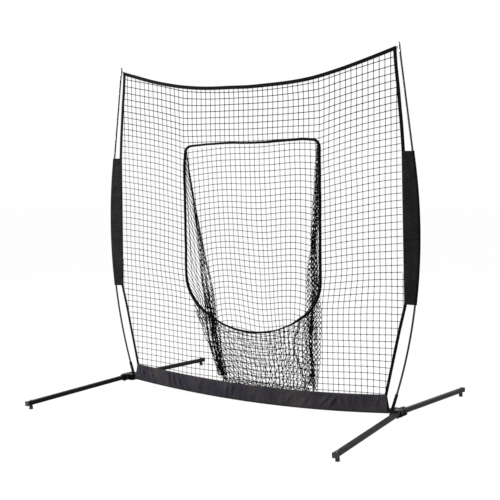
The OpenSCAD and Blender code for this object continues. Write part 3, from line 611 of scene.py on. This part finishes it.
def gather_strings(side, seed):
    """Pleats as bunched strands of two cords that cross at every knot, with loose cross cords."""
    dice = random.Random(seed)
    drift = [Ripple(seed * 40 + i, 0.34) for i in range(GATHER_STRANDS)]
    loose = [Ripple(seed * 80 + i, 0.20) for i in range(GATHER_STRANDS)]
    offset = [dice.random() for _ in range(GATHER_STRANDS)]

    def mixed(strand, wave, z, v):
        """A wave of the strand's own low down, and of its bundle higher up."""
        alone = ease(0.80, 0.50, z)
        return alone * wave[strand](z, v) + (1 - alone) * wave[BUNDLE[strand]](z, v)

    def place(strand, step, swing):
        z = POCKET_LOW + (step + offset[BUNDLE[strand]]) * PLEAT_STEP
        inner, outer = smooth(BAND_IN, z), smooth(BAND_OUT, z)
        if side > 0:
            inner += 0.009 * ease(1.30, 1.50, z)
            outer += 0.013 * ease(1.58, 1.45, z) * ease(0.95, 1.15, z)
        width = inner + outer
        alone = ease(0.85, 0.50, z)
        share = alone * GATHER_SPREAD[strand] + (1 - alone) * BUNDLE_SPREAD[BUNDLE[strand]]
        share += 0.16 * mixed(strand, drift, z, 0.1) + 0.05 * (offset[strand] - 0.5)
        fold = min(1.0, width / 0.040)
        across = -inner + width * clamp(share)
        across += swing * fold * (0.0080 + 0.0040 * mixed(strand, loose, z, 0.6))
        x = smooth(GATHER_X, z) + across
        if z > 0.62:
            x = min(x, rim_edge_x(z) - 0.004)
        y = smooth(GATHER_Y, z) + fold * (0.010 * mixed(strand, loose, z, 0.2)
                                          + (0.006 if strand % 2 else -0.006) + 0.003 * swing)
        middle = smooth(SWING, z) + smooth(LEAN, z) * ease(1.6, 1.45, z)
        return (side * x + middle, max(y, 0.004), z)

    def inside(point):
        return POCKET_LOW < point[2] < 1.585

    def weight(z):
        high, low = (0.55, 0.45) if side < 0 else (0.60, 0.0)
        return high + (1 - high) * ease(1.45, 0.95, z) + low * ease(0.75, 0.5, z)

    strings = []
    for strand in range(GATHER_STRANDS):
        for start in (1, -1):
            path = []
            for quarter in range(4 * PLEATS):
                step = quarter / 4
                swing = start * math.sin(math.pi * step) + dice.uniform(-0.15, 0.15)
                point = place(strand, step, swing)
                if inside(point):
                    knot = 1.5 if quarter % 4 == 0 else 1.0
                    path.append((point, STRAND_R * knot * weight(point[2])))
            strings.append(path)
    for step in range(1, PLEATS - 1):
        for strand in range(GATHER_STRANDS - 1):
            if dice.random() < (0.60 if side < 0 else 0.82):
                continue
            near = place(strand, step, dice.uniform(-1, 1))
            far = place(strand + 1, step + dice.uniform(-0.9, 0.9), dice.uniform(-1, 1))
            if inside(near) and inside(far):
                thin = TWINE_R * weight(near[2])
                strings.append([(near, thin), (far, thin)])
    strings += gather_core(side, place, dice)
    return [string for string in strings if len(string) > 1]


def gather_core(side, place, dice):
    """The cords drawn tight in the middle of a gather, below the opening."""
    cords = []
    for strand in ((1, 3, 4, 5) if side < 0 else (3,)):
        path = []
        for half in range(2 * CORE_STEPS):
            (x, y, z) = place(strand, half / 2, 0.5 * math.sin(math.pi * half / 3 + strand))
            thick = (0.0044 if side < 0 else 0.0032) * ease(0.70, 0.55, z) * (
                1 + 0.3 * dice.uniform(-1, 1))
            if z > POCKET_LOW and thick > 0.001:
                path.append(((x + 0.003 * strand - 0.008, y - 0.004, z), thick))
        cords.append(path)
    return cords


gather_pieces = [
    tubes("pocket_left_gather", gather_strings(-1, 1)),
    tubes("pocket_right_gather", gather_strings(1, 2)),
]

# Front wall of the bag, hanging from the lower part of the rim
FRONT_COLUMNS = 13
FRONT_TOP_HALF = 0.44
FRONT_LOW_HALF = 0.320
FRONT_LOW_SHIFT = 0.055
FRONT_LOW_Z = 0.078
FRONT_ROW = 0.024
FRONT_ROWS = 23
front_wave = Ripple(41, 0.15)
front_lift = Ripple(42, 0.12)


def front_point(i, t):
    """Front wall: column i from the rim, row t below it."""
    spread = max(-1.0, min(1.0, i / FRONT_COLUMNS))
    top_x = FRONT_TOP_HALF * spread
    top_z = rim_z(top_x)
    z = top_z - t * FRONT_ROW
    share = (top_z - z) / (top_z - FRONT_LOW_Z)
    turn = 3 * share ** 2 - 2 * share ** 3 if share < 1 else 1
    low_x = FRONT_LOW_HALF * spread + FRONT_LOW_SHIFT
    x = top_x + (low_x - top_x) * turn
    calm = min(1.0, max(0.0, share) / 0.15)
    ordered = 1 - 0.6 * ease(0.0, 0.15, top_x)
    x += 0.005 * front_wave(x, z) * calm * ordered
    zigzag = math.cos(math.pi * (t + i))
    x += (0.0025 + 0.0035 * clamp(share)) * zigzag * calm
    y = POCKET_Y + 0.045 * share + 0.012 * front_lift(x, z) * calm
    z += 0.006 * front_lift(z, x) * calm * ordered
    return (x, y, z)


def in_front(point):
    return point[2] > FRONT_LOW_Z - 0.004


front_strings = []
for i in range(-FRONT_COLUMNS, FRONT_COLUMNS + 1):
    spread = i / FRONT_COLUMNS
    thicker = 1.15 + 0.55 * ease(0.0, 0.3, spread) * ease(0.9, 0.6, spread)
    front_strings += thickened(knotted(
        lambda t: front_point(i, t), 0, FRONT_ROWS, in_front, FRONT_ROW), lambda p: thicker)
for k in range(1, FRONT_ROWS):
    front_strings += thickened(knotted(
        lambda s: front_point(s, k), -FRONT_COLUMNS, FRONT_COLUMNS - 1, in_front, 0.03),
        lambda p: 1 - 0.45 * ease(-0.05, 0.2, p[0]))

# Folds of the front wall: height, place across, way in from the rim
FRONT_FOLDS = [
    [(0.10, 0.350, 0.070), (0.20, 0.335, 0.062), (0.30, 0.300, 0.050), (0.36, 0.268, 0.042),
     (0.42, 0.292, 0.034), (0.50, 0.335, 0.020), (0.56, 0.362, 0.010)],
    [(0.09, 0.395, 0.085), (0.22, 0.402, 0.075), (0.35, 0.388, 0.060), (0.50, 0.392, 0.030),
     (0.58, 0.400, 0.014)],
]
FOLD_STEPS = 69
fold_wave = Ripple(43, 0.08)
for fold, stops in enumerate(FRONT_FOLDS):
    for start in (1, -1):
        path = []
        for step in range(FOLD_STEPS + 1):
            z = stops[0][0] + (stops[-1][0] - stops[0][0]) * step / FOLD_STEPS
            x = smooth([(a, b) for a, b, _ in stops], z)
            y = smooth([(a, c) for a, _, c in stops], z)
            swing = start * math.sin(math.pi * z / 0.026)
            path.append(((x + 0.006 * swing + 0.004 * fold_wave(z, start), y + 0.002 * start, z),
                         TWINE_R * (1.7 + 0.7 * max(0.0, fold_wave(z, fold)))))
        front_strings.append(path)
pocket_front = tubes("pocket_front_netting", front_strings)

ROLL_ROWS = 5
roll_wave = Ripple(51, 0.09)
roll_lift = Ripple(52, 0.11)


def roll_point(i, t):
    """Bottom of the bag from the front wall, t = 0, to the back wall, t = ROLL_ROWS."""
    spread = i / FRONT_COLUMNS
    share = t / ROLL_ROWS
    x = spread * (FRONT_LOW_HALF + 0.015 * share) + FRONT_LOW_SHIFT * (1 - share) - 0.013 * share
    y = POCKET_Y + 0.045 + 0.130 * share
    z = FRONT_LOW_Z + 0.004 + 0.006 * share + 0.010 * abs(roll_lift(x, y))
    return (x + 0.008 * roll_wave(x, y), y + 0.008 * roll_wave(y, x), z)


roll_strings = []
for i in range(-FRONT_COLUMNS, FRONT_COLUMNS + 1):
    roll_strings += knotted(lambda t: roll_point(i, t), 0, ROLL_ROWS, lambda p: True, 0.03)
for k in range(0, ROLL_ROWS + 1):
    roll_strings += knotted(lambda s: roll_point(s, k), -FRONT_COLUMNS, FRONT_COLUMNS - 1,
                            lambda p: True, 0.025)
pocket_roll = tubes("pocket_bottom_netting", roll_strings)

# ---- Webbing ----

binding_wave = Ripple(61, 0.25)


def upper_binding():
    path = []
    for i in range(161):
        x = CORNER_X * (i / 80 - 1)
        slack = math.sin(math.pi * i / 160)
        path.append((x, 0.003 * binding_wave(x, 0) * slack,
                     upper_edge_z(x) - 0.0105 + 0.0015 * binding_wave(x, 0.4) * slack))
    return webbing_strip("top_webbing", path, 0.022, 0.0042)


def side_strip(name, side, low, high, width, places):
    """Webbing down a side; places gives its middle, outward of the seam line, by height."""
    path = []
    for i in range(49):
        z = low + (high - low) * i / 48
        slack = math.sin(math.pi * i / 48)
        middle = side_x(z) + smooth(places, z) + 0.0012 * binding_wave(z, side) * slack
        path.append((side * middle, 0.002 * binding_wave(side, z) * slack, z))
    return webbing_strip(name, path, width, 0.0040)


top_webbing = upper_binding()
side_webbing = []
for side, side_name in ((-1, "left"), (1, "right")):
    side_webbing.append(side_strip(
        side_name + "_upper_webbing", side, SLEEVE_TOP - 0.002, CORNER_Z - 0.010, 0.021,
        [(SLEEVE_TOP, 0.0105), (SLEEVE_TOP + 0.20, 0.006), (CORNER_Z - 0.10, -0.009),
         (CORNER_Z, -0.0105)]))
    side_webbing.append(side_strip(
        side_name + "_lower_webbing", side, NET_BOTTOM_Z - 0.004, SLEEVE_BOTTOM + 0.002, 0.018,
        [(NET_BOTTOM_Z, -0.004), (SLEEVE_BOTTOM - 0.10, 0.003), (SLEEVE_BOTTOM, 0.009)]))

rim_wave = Ripple(71, 0.22)
rim_path = []
for x, z in opening_path(RIM_W / 2):
    rim_path.append((x + rim_inset(x, z) + 0.0015 * rim_wave(x, z), 0.003 * rim_wave(z, x),
                     z + rim_lift(x, z) + 0.0015 * rim_wave(x * 3, z)))


def rim_broad(x, z):
    """The binding is bunched along its top, its right side and the turn into its bottom."""
    top = ease(OPENING_TOP - 0.10, OPENING_TOP - 0.02, z)
    turn = ease(0.50, 0.56, z) * ease(0.80, 0.70, z)
    taut = ease(0.452, 0.470, z) * ease(0.54, 0.51, z)
    right = ease(0.38, 0.44, x)
    return (1.06 + 0.12 * top + 0.24 * top * ease(0.0, 0.3, x) + (1 - top) * right * (
                0.04 + 0.34 * ease(0.90, 1.25, z))
            + (0.24 if x > 0 else 0.40) * turn - 0.26 * taut + 0.04 * binding_wave(x * 2, z * 2))


rim_webbing = webbing_strip("pocket_rim_webbing", rim_path, 0.0112, RIM_T, True, rim_broad)

# ---- Skirt and sleeves ----

def teardrop(reach, radius, edge_gap, straight=9, turn=16):
    """Section of cloth from a seam at -reach round a tube at the origin and back to the seam."""
    touch = math.acos((radius - edge_gap) / reach)
    angles = np.linspace(math.pi - touch, -(math.pi - touch), turn)
    arc = [(radius * math.cos(a), radius * math.sin(a)) for a in angles]
    out = [(-reach + (arc[0][0] + reach) * i / straight,
            edge_gap + (arc[0][1] - edge_gap) * i / straight) for i in range(straight)]
    back = [(u, -v) for u, v in reversed(out)]
    return out + arc + back


def cloth_piece(name, rows, thickness):
    """A sheet from rows of points, given its thickness."""
    n, m = len(rows), len(rows[0])
    verts = [p for row in rows for p in row]
    across = np.concatenate([[0], np.cumsum([math.dist(rows[n // 2][j], rows[n // 2][j + 1])
                                             for j in range(m - 1)])])
    along = np.concatenate([[0], np.cumsum([math.dist(rows[i][0], rows[i + 1][0])
                                            for i in range(n - 1)])])
    faces, uvs = [], []
    for i in range(n - 1):
        for j in range(m - 1):
            faces.append((i * m + j, i * m + j + 1, (i + 1) * m + j + 1, (i + 1) * m + j))
            uvs += [(across[j], along[i]), (across[j + 1], along[i]),
                    (across[j + 1], along[i + 1]), (across[j], along[i + 1])]
    piece = mesh_piece(name, verts, faces, uvs)
    solid = piece.modifiers.new("thickness", "SOLIDIFY")
    solid.thickness = thickness
    solid.offset = 0
    solid.use_even_offset = False
    apply_modifiers(piece)
    outward(piece)
    return piece, across[-1], along[-1]


SLEEVE_STEPS = 85
sleeve_wave = Ripple(81, 0.07)
sleeve_crease = Ripple(82, 0.25)


def sleeve_cloth(side, name):
    rows = []
    for i in range(SLEEVE_STEPS + 1):
        z = SLEEVE_BOTTOM + (SLEEVE_TOP - SLEEVE_BOTTOM) * i / SLEEVE_STEPS
        centre = pole_x(z)
        reach = centre - side_x(z)
        end = min(z - SLEEVE_BOTTOM, SLEEVE_TOP - z)
        hem = 0.0006 * max(0.0, 1 - end / 0.014)
        low = math.exp(-(z - SLEEVE_BOTTOM) / 0.10)
        row = []
        for u, v in teardrop(reach, 0.0092 + hem, 0.0009 + hem):
            face = max(0.0, 1 - abs((u + reach / 2) / (reach / 2)))
            push = face * (0.0026 * sleeve_crease(u * 6, z) + 0.0050 * low * sleeve_wave(
                u * 2, z + u))
            row.append((side * (centre + u), v + push * (1 if v > 0 else -1), z))
        rows.append(row)
    return cloth_piece(name, rows, 0.0012)


left_sleeve, sleeve_wide, sleeve_long = sleeve_cloth(-1, "left_sleeve_cloth")
right_sleeve, _, _ = sleeve_cloth(1, "right_sleeve_cloth")

SKIRT_MIDDLE = 0.045
SKIRT_STEPS = 420
skirt_fold = Ripple(91, 0.16)
skirt_fine = Ripple(92, 0.06)
# Puckers of the skirt: place along, slant, breadth, height
PUCKERS = [(-0.905, 0.5, 0.008, 0.0072), (-0.872, 0.6, 0.008, 0.0087), (-0.838, 0.7, 0.009, 0.0087),
           (-0.800, 0.7, 0.010, 0.0065), (-0.735, 0.9, 0.011, 0.0043), (-0.655, 0.5, 0.010, 0.0075),
           (-0.615, 0.6, 0.011, 0.0093), (-0.572, 0.7, 0.011, 0.0093), (-0.530, 0.8, 0.012, 0.0070),
           (-0.440, 1.3, 0.013, 0.0049), (-0.350, 1.5, 0.014, 0.0052), (-0.190, 0.1, 0.012, 0.0058),
           (-0.150, 0.0, 0.010, 0.0049), (0.020, -0.6, 0.014, 0.0043), (0.130, 0.5, 0.013, 0.0043),
           (0.280, -0.9, 0.013, 0.0046), (0.400, -0.8, 0.013, 0.0052), (0.520, -1.1, 0.013, 0.0067),
           (0.580, -0.8, 0.012, 0.0081), (0.640, 0.6, 0.012, 0.0087), (0.690, 0.9, 0.012, 0.0070),
           (0.780, 0.4, 0.014, 0.0043), (0.870, -0.4, 0.012, 0.0049)]


def pucker(along, u):
    """How far the puckers push the skirt's cloth out."""
    total = 0.0
    for place, slant, breadth, height in PUCKERS:
        off = (along - place - slant * (u + SKIRT_MIDDLE)) / breadth
        if abs(off) < 3:
            total += height * math.exp(-off * off)
    return total


def skirt_cloth():
    rows = []
    for i in range(SKIRT_STEPS + 1):
        along = BAR_HALF * (2 * i / SKIRT_STEPS - 1)
        angle = math.asin(along / BAR_ARC_R)
        down = Vector((math.sin(angle), 0, -math.cos(angle)))
        axis = Vector((0, 0, BAR_ARC_Z)) + down * BAR_ARC_R
        end = BAR_HALF - abs(along)
        hem = 0.0007 * max(0.0, 1 - end / 0.016)
        row = []
        for u, v in teardrop(SKIRT_RISE, 0.0142 + hem, 0.0009):
            face = max(0.0, 1 - abs((u + SKIRT_MIDDLE) / SKIRT_MIDDLE)) ** 0.7
            push = face * (0.0024 * skirt_fold(along, 0.3 * u) + 0.0016 * skirt_fine(
                along - 0.6 * u, u) + pucker(along, u))
            point = axis + down * u
            row.append((point.x, v + push * (1 if v > 0 else -1), point.z))
        rows.append(row)
    return cloth_piece("skirt_cloth", rows, 0.0013)


skirt, skirt_wide, skirt_long = skirt_cloth()

# ---- Webs between the hub plates ----

WEB_SIZE = (0.037, 0.032, 0.030)
WEB_EDGE_R = 0.0012
WEB_X = 1.0055
WEB_Z = 0.066


def hub_web(name, *moves):
    """A plain upright web that closes a hub between its plates, outward of the block."""
    bpy.ops.object.select_all(action="DESELECT")
    bpy.ops.mesh.primitive_cube_add(size=1, location=(0, 0, 0))
    web = bpy.context.object
    web.name = name
    bpy.ops.object.mode_set(mode="EDIT")
    bpy.ops.mesh.select_all(action="SELECT")
    bpy.ops.transform.resize(value=WEB_SIZE, center_override=(0, 0, 0))
    bpy.ops.mesh.bevel(offset=WEB_EDGE_R, segments=2, affect="EDGES")
    bpy.ops.mesh.select_all(action="SELECT")
    for move in moves:
        bpy.ops.transform.translate(value=move)
    bpy.ops.object.mode_set(mode="OBJECT")
    return web


webs = [hub_web("right_hub_web", (WEB_X, 0, WEB_Z)),
        hub_web("left_hub_web", (WEB_X, 0, WEB_Z), (-2 * WEB_X, 0, 0))]

# ---- Corner loops ----

LOOP_R = 0.0014


def corner_loop(side, name):
    """Elastic cord sewn into the corner of the binding and taken round the pole tip."""
    height = CORNER_Z + 0.0030
    x = pole_x(height)
    round_r = 0.0072
    points = [(-CORNER_GAP - 0.004, 0.0032, -0.010), (-CORNER_GAP + 0.006, 0.0050, -0.004)]
    points += [(round_r * math.cos(a), round_r * math.sin(a), 0.004)
               for a in np.linspace(2.1, -2.1, 13)]
    points += [(-CORNER_GAP + 0.006, -0.0050, -0.004), (-CORNER_GAP - 0.004, -0.0032, -0.010)]
    string = [((side * (x + u), v, height + w), LOOP_R) for u, v, w in points]
    return tubes(name, [string], sides=8)


loops = [corner_loop(-1, "left_corner_loop"), corner_loop(1, "right_corner_loop")]

# ---- Finishes ----

def srgb(r, g, b):
    """Linear colour of the red, green and blue levels of a finish, each 0 to 255."""
    def level(c):
        c /= 255
        return c / 12.92 if c <= 0.04045 else ((c + 0.055) / 1.055) ** 2.4
    return (level(r), level(g), level(b), 1)


class Finish:
    """A material with its shader, and short ways to add nodes."""

    def __init__(self, name, roughness, specular=0.5, metallic=0.0):
        self.material = bpy.data.materials.new(name)
        self.material.use_nodes = True
        self.nodes = self.material.node_tree.nodes
        self.links = self.material.node_tree.links
        self.shader = self.nodes["Principled BSDF"]
        self.shader.inputs["Roughness"].default_value = roughness
        self.shader.inputs["Specular IOR Level"].default_value = specular
        self.shader.inputs["Metallic"].default_value = metallic
        self.coords = self.nodes.new("ShaderNodeTexCoord")

    def add(self, kind, **values):
        """A new node with its inputs set."""
        node = self.nodes.new("ShaderNode" + kind)
        for name, value in values.items():
            node.inputs[name].default_value = value
        return node

    def mapped(self, scale, source="Object", turn=(0, 0, 0)):
        node = self.add("Mapping", Scale=scale, Rotation=turn)
        self.links.new(self.coords.outputs[source], node.inputs["Vector"])
        return node.outputs["Vector"]

    def noise(self, vector, scale, detail=3.0):
        node = self.add("TexNoise", Scale=scale, Detail=detail)
        self.links.new(vector, node.inputs["Vector"])
        return node.outputs["Fac"]

    def waves(self, vector, scale, direction):
        node = self.add("TexWave", Scale=scale)
        node.bands_direction = direction
        self.links.new(vector, node.inputs["Vector"])
        return node.outputs["Fac"]

    def math(self, operation, a, b):
        node = self.add("Math")
        node.operation = operation
        for socket, value in zip(node.inputs, (a, b)):
            if isinstance(value, (int, float)):
                socket.default_value = value
            else:
                self.links.new(value, socket)
        return node.outputs[0]

    def ramp(self, fac, stops):
        node = self.add("ValToRGB")
        elements = node.color_ramp.elements
        while len(elements) < len(stops):
            elements.new(0.5)
        for element, (position, colour) in zip(elements, stops):
            element.position = position
            element.color = colour
        self.links.new(fac, node.inputs["Fac"])
        return node.outputs["Color"]

    def colour(self, socket):
        self.links.new(socket, self.shader.inputs["Base Color"])

    def roughness(self, fac, low, high):
        node = self.add("MapRange", **{"To Min": low, "To Max": high})
        self.links.new(fac, node.inputs["Value"])
        self.links.new(node.outputs["Result"], self.shader.inputs["Roughness"])

    def bump(self, height, distance, strength=1.0):
        node = self.add("Bump", Distance=distance, Strength=strength)
        self.links.new(height, node.inputs["Height"])
        self.links.new(node.outputs["Normal"], self.shader.inputs["Normal"])


def painted_steel():
    finish = Finish("powder_coated_steel", 0.42, 0.09)
    vector = finish.mapped((1, 1, 1))
    finish.colour(finish.ramp(finish.noise(vector, 14, 4), [
        (0.3, srgb(6, 5, 8)), (0.7, srgb(14, 12, 17))]))
    finish.roughness(finish.noise(vector, 30), 0.34, 0.52)
    finish.bump(finish.noise(vector, 1400, 2), 0.0003, 0.5)
    return finish.material


def zinc():
    finish = Finish("zinc_plated_steel", 0.3, metallic=1.0)
    vector = finish.mapped((1, 1, 1))
    finish.colour(finish.ramp(finish.noise(vector, 120, 3), [
        (0.3, srgb(92, 94, 98)), (0.7, srgb(132, 134, 138))]))
    finish.roughness(finish.noise(vector, 260), 0.22, 0.42)
    return finish.material


def fibreglass():
    finish = Finish("black_fibreglass", 0.35, 0.32)
    vector = finish.mapped((1, 1, 0.02))
    finish.colour(finish.ramp(finish.noise(vector, 900, 3), [
        (0.3, srgb(12, 12, 15)), (0.75, srgb(26, 26, 31))]))
    finish.roughness(finish.noise(vector, 500), 0.28, 0.46)
    finish.bump(finish.noise(vector, 1200, 2), 0.0002, 0.6)
    return finish.material


def moulded(name, dark, pale, rough, grain):
    finish = Finish(name, rough)
    vector = finish.mapped((1, 1, 1))
    finish.colour(finish.ramp(finish.noise(vector, 60, 3), [(0.3, dark), (0.7, pale)]))
    finish.roughness(finish.noise(vector, 90), rough - 0.08, rough + 0.08)
    finish.bump(finish.noise(vector, grain, 2), 0.0002, 0.5)
    return finish.material


def woven_cloth(name, dark, pale, sheen, crease):
    finish = Finish(name, 0.78, 0.05)
    vector = finish.mapped((1, 1, 1), "UV")
    warp = finish.waves(vector, 420, "X")
    weft = finish.waves(vector, 420, "Y")
    weave = finish.math("MULTIPLY", warp, weft)
    broad = finish.noise(vector, 4.5, 4)
    mixed = finish.math("ADD", finish.math("MULTIPLY", weave, 0.25),
                        finish.math("MULTIPLY", broad, 0.75))
    finish.colour(finish.ramp(mixed, [(0.3, dark), (0.68, pale)]))
    creases = finish.noise(finish.mapped((0.45, 1, 1), "UV", (0, 0, 0.5)), 24, 2)
    finish.bump(finish.math("ADD", finish.math("MULTIPLY", weave, 0.0004), finish.math(
        "MULTIPLY", creases, crease)), 1.0)
    finish.shader.inputs["Sheen Weight"].default_value = sheen
    finish.shader.inputs["Sheen Roughness"].default_value = 0.35
    return finish.material


def webbing():
    finish = Finish("black_webbing", 0.8, 0.04)
    vector = finish.mapped((1, 1, 1), "UV")
    ribs = finish.waves(vector, 160, "Y")
    mixed = finish.math("ADD", finish.math("MULTIPLY", ribs, 0.5),
                        finish.math("MULTIPLY", finish.noise(vector, 60, 3), 0.5))
    finish.colour(finish.ramp(mixed, [(0.3, srgb(3, 3, 4)), (0.8, srgb(13, 12, 14))]))
    finish.bump(ribs, 0.0005, 0.7)
    return finish.material


def twine():
    finish = Finish("knotted_twine", 0.7, 0.03)
    vector = finish.mapped((6, 700, 1), "UV", (0, 0, 0.4))
    strands = finish.waves(vector, 1.0, "Y")
    finish.colour(finish.ramp(strands, [(0.2, srgb(3, 3, 4)), (0.8, srgb(12, 11, 13))]))
    finish.bump(strands, 0.0003, 0.6)
    return finish.material


paint, plating, pole_glass = painted_steel(), zinc(), fibreglass()
rubber = moulded("foot_rubber", srgb(16, 16, 18), srgb(30, 30, 32), 0.8, 700)
plastic = moulded("moulded_plastic", srgb(24, 24, 26), srgb(38, 38, 41), 0.5, 900)
sleeve_look = woven_cloth("sleeve_polyester", srgb(13, 11, 12), srgb(29, 25, 26), 0.02, 0.010)
skirt_look = woven_cloth("skirt_polyester", srgb(31, 31, 40), srgb(62, 55, 54), 0.06, 0.010)
webbing_look, twine_look = webbing(), twine()


def coat(name, material):
    """Gives a CAD node its finish."""
    piece = nodes[name]
    piece.data.materials.clear()
    piece.data.materials.append(material)
    for polygon in piece.data.polygons:
        polygon.material_index = 0


for side_name in ("left", "right"):
    for part in ("hub_upper_plate", "hub_lower_plate", "hub_block", "pole_socket",
                 "front_leg", "rear_leg"):
        coat(side_name + "_" + part, paint)
    for fore in ("front", "rear"):
        coat(side_name + "_" + fore + "_cap", plastic)
        coat(side_name + "_" + fore + "_foot", rubber)
        coat(side_name + "_" + fore + "_foot_bolt", plating)
    for part in ("pole_lower", "pole_middle", "pole_upper"):
        coat(side_name + "_" + part, pole_glass)
    coat(side_name + "_pole_tip", plating)
for name in ("crossbar_left", "crossbar_right"):
    coat(name, paint)
for name in ("pivot_bolts", "pivot_nuts", "crossbar_coupler", "pole_ferrules"):
    coat(name, plating)


def dress(piece, material, slot, *replaced):
    """Gives a new piece its finish and its place on the frame, and hides the CAD nodes it stands
    for.
    """
    piece.data.materials.clear()
    piece.data.materials.append(material)
    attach(piece, "frame")
    if replaced:
        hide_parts(*replaced)


for piece, *replaced in (
        (net_pieces["netting_left"], "net_left"), (net_pieces["netting_right"], "net_right"),
        (net_pieces["netting_top"], "net_top"),
        (net_pieces["netting_lower"], "net_lower_left", "net_lower_right"),
        (pocket_back, "pocket_back"), (pocket_front, "pocket_front"),
        (pocket_roll, "pocket_roll"), (side_pieces[0], "pocket_left_side"),
        (side_pieces[1], "pocket_right_side"), (gather_pieces[0],), (gather_pieces[1],)):
    dress(piece, twine_look, "twine", *replaced)
for piece, *replaced in (
        (top_webbing, "top_binding"), (side_webbing[0], "left_binding"), (side_webbing[1],),
        (side_webbing[2], "right_binding"), (side_webbing[3],), (rim_webbing, "pocket_rim"),
        (loops[0], "corner_loops"), (loops[1],)):
    dress(piece, webbing_look, "webbing", *replaced)
for piece in webs:
    dress(piece, paint, "painted_steel")
for piece, pole, replaced in ((left_sleeve, "left_pole_middle", "left_sleeve"),
                              (right_sleeve, "right_pole_middle", "right_sleeve")):
    dress(piece, sleeve_look, "cloth", replaced)
dress(skirt, skirt_look, "cloth", "skirt")

# ---- Studio ----

scene = bpy.context.scene
scene.view_settings.view_transform = "Standard"

CAMERA_PLACE = (3.48932, -5.08215, 1.41883)
CAMERA_TURN = 0.601639
CAMERA_DROP = 0.0757775
CAMERA_ROLL = -0.01413656
CAMERA_LENS = 72.66


def product_camera():
    forward = Vector((-math.sin(CAMERA_TURN) * math.cos(CAMERA_DROP),
                      math.cos(CAMERA_TURN) * math.cos(CAMERA_DROP), -math.sin(CAMERA_DROP)))
    right = forward.cross(Vector((0, 0, 1))).normalized()
    up = right.cross(forward)
    c, s = math.cos(CAMERA_ROLL), math.sin(CAMERA_ROLL)
    across, above = c * right + s * up, -s * right + c * up
    data = bpy.data.cameras.new("camera")
    data.lens = CAMERA_LENS
    data.sensor_width = 36
    data.clip_end = 100
    camera = bpy.data.objects.new("camera", data)
    scene.collection.objects.link(camera)
    turn = Matrix((across, above, -forward)).transposed()
    camera.matrix_world = Matrix.Translation(CAMERA_PLACE) @ turn.to_4x4()
    scene.camera = camera


def lamp(name, place, aim, size, power):
    data = bpy.data.lights.new(name, "AREA")
    data.shape = "DISK"
    data.size = size
    data.energy = power
    light = bpy.data.objects.new(name, data)
    light.location = place
    light.rotation_euler = (Vector(aim) - Vector(place)).to_track_quat("-Z", "Y").to_euler()
    scene.collection.objects.link(light)


def seen_or_lit(tree):
    """1 where a camera, glossy or transmission ray looks, 0 where the surface lights or is lit."""
    path = tree.nodes.new("ShaderNodeLightPath")
    total = path.outputs["Is Camera Ray"]
    for output in ("Is Glossy Ray", "Is Transmission Ray"):
        node = tree.nodes.new("ShaderNodeMath")
        node.operation = "MAXIMUM"
        tree.links.new(total, node.inputs[0])
        tree.links.new(path.outputs[output], node.inputs[1])
        total = node.outputs[0]
    return total


def split_look(tree, share, lit, seen, end):
    """Ends a tree in one shader for what lights or is lit and one for what is looked at."""
    mix = tree.nodes.new("ShaderNodeMixShader")
    out = tree.nodes.new(end)
    tree.links.new(share, mix.inputs["Fac"])
    tree.links.new(lit.outputs[0], mix.inputs[1])
    tree.links.new(seen.outputs[0], mix.inputs[2])
    tree.links.new(mix.outputs[0], out.inputs["Surface"])


def white_world():
    world = bpy.data.worlds.new("studio")
    scene.world = world
    world.use_nodes = True
    tree = world.node_tree
    tree.nodes.clear()
    whites = []
    for strength in (0.22, 1.0):
        white = tree.nodes.new("ShaderNodeBackground")
        white.inputs["Color"].default_value = (1, 1, 1, 1)
        white.inputs["Strength"].default_value = strength
        whites.append(white)
    split_look(tree, seen_or_lit(tree), *whites, "ShaderNodeOutputWorld")


def pale_floor():
    bpy.ops.mesh.primitive_plane_add(size=60, location=(0, 0, 0))
    floor = bpy.context.object
    floor.name = "studio_floor"
    material = bpy.data.materials.new("studio_floor")
    material.use_nodes = True
    tree = material.node_tree
    tree.nodes.clear()
    matt = tree.nodes.new("ShaderNodeBsdfDiffuse")
    matt.inputs["Color"].default_value = (0.4, 0.4, 0.4, 1)
    glow = tree.nodes.new("ShaderNodeEmission")
    glow.inputs["Strength"].default_value = 1.055
    share = tree.nodes.new("ShaderNodeMath")
    share.operation = "MULTIPLY"
    share.inputs[1].default_value = 0.93
    tree.links.new(seen_or_lit(tree), share.inputs[0])
    split_look(tree, share.outputs[0], matt, glow, "ShaderNodeOutputMaterial")
    floor.data.materials.append(material)


product_camera()
white_world()
pale_floor()
lamp("top_softbox", (0.5, -1.5, 5.5), (0, 0, 1), 4.0, 170)
lamp("key", (-4.8, -1.9, 2.4), (0, 0, 0.4), 0.7, 640)
lamp("fill", (5.0, -3.5, 2.0), (0, 0, 1), 3.0, 60)
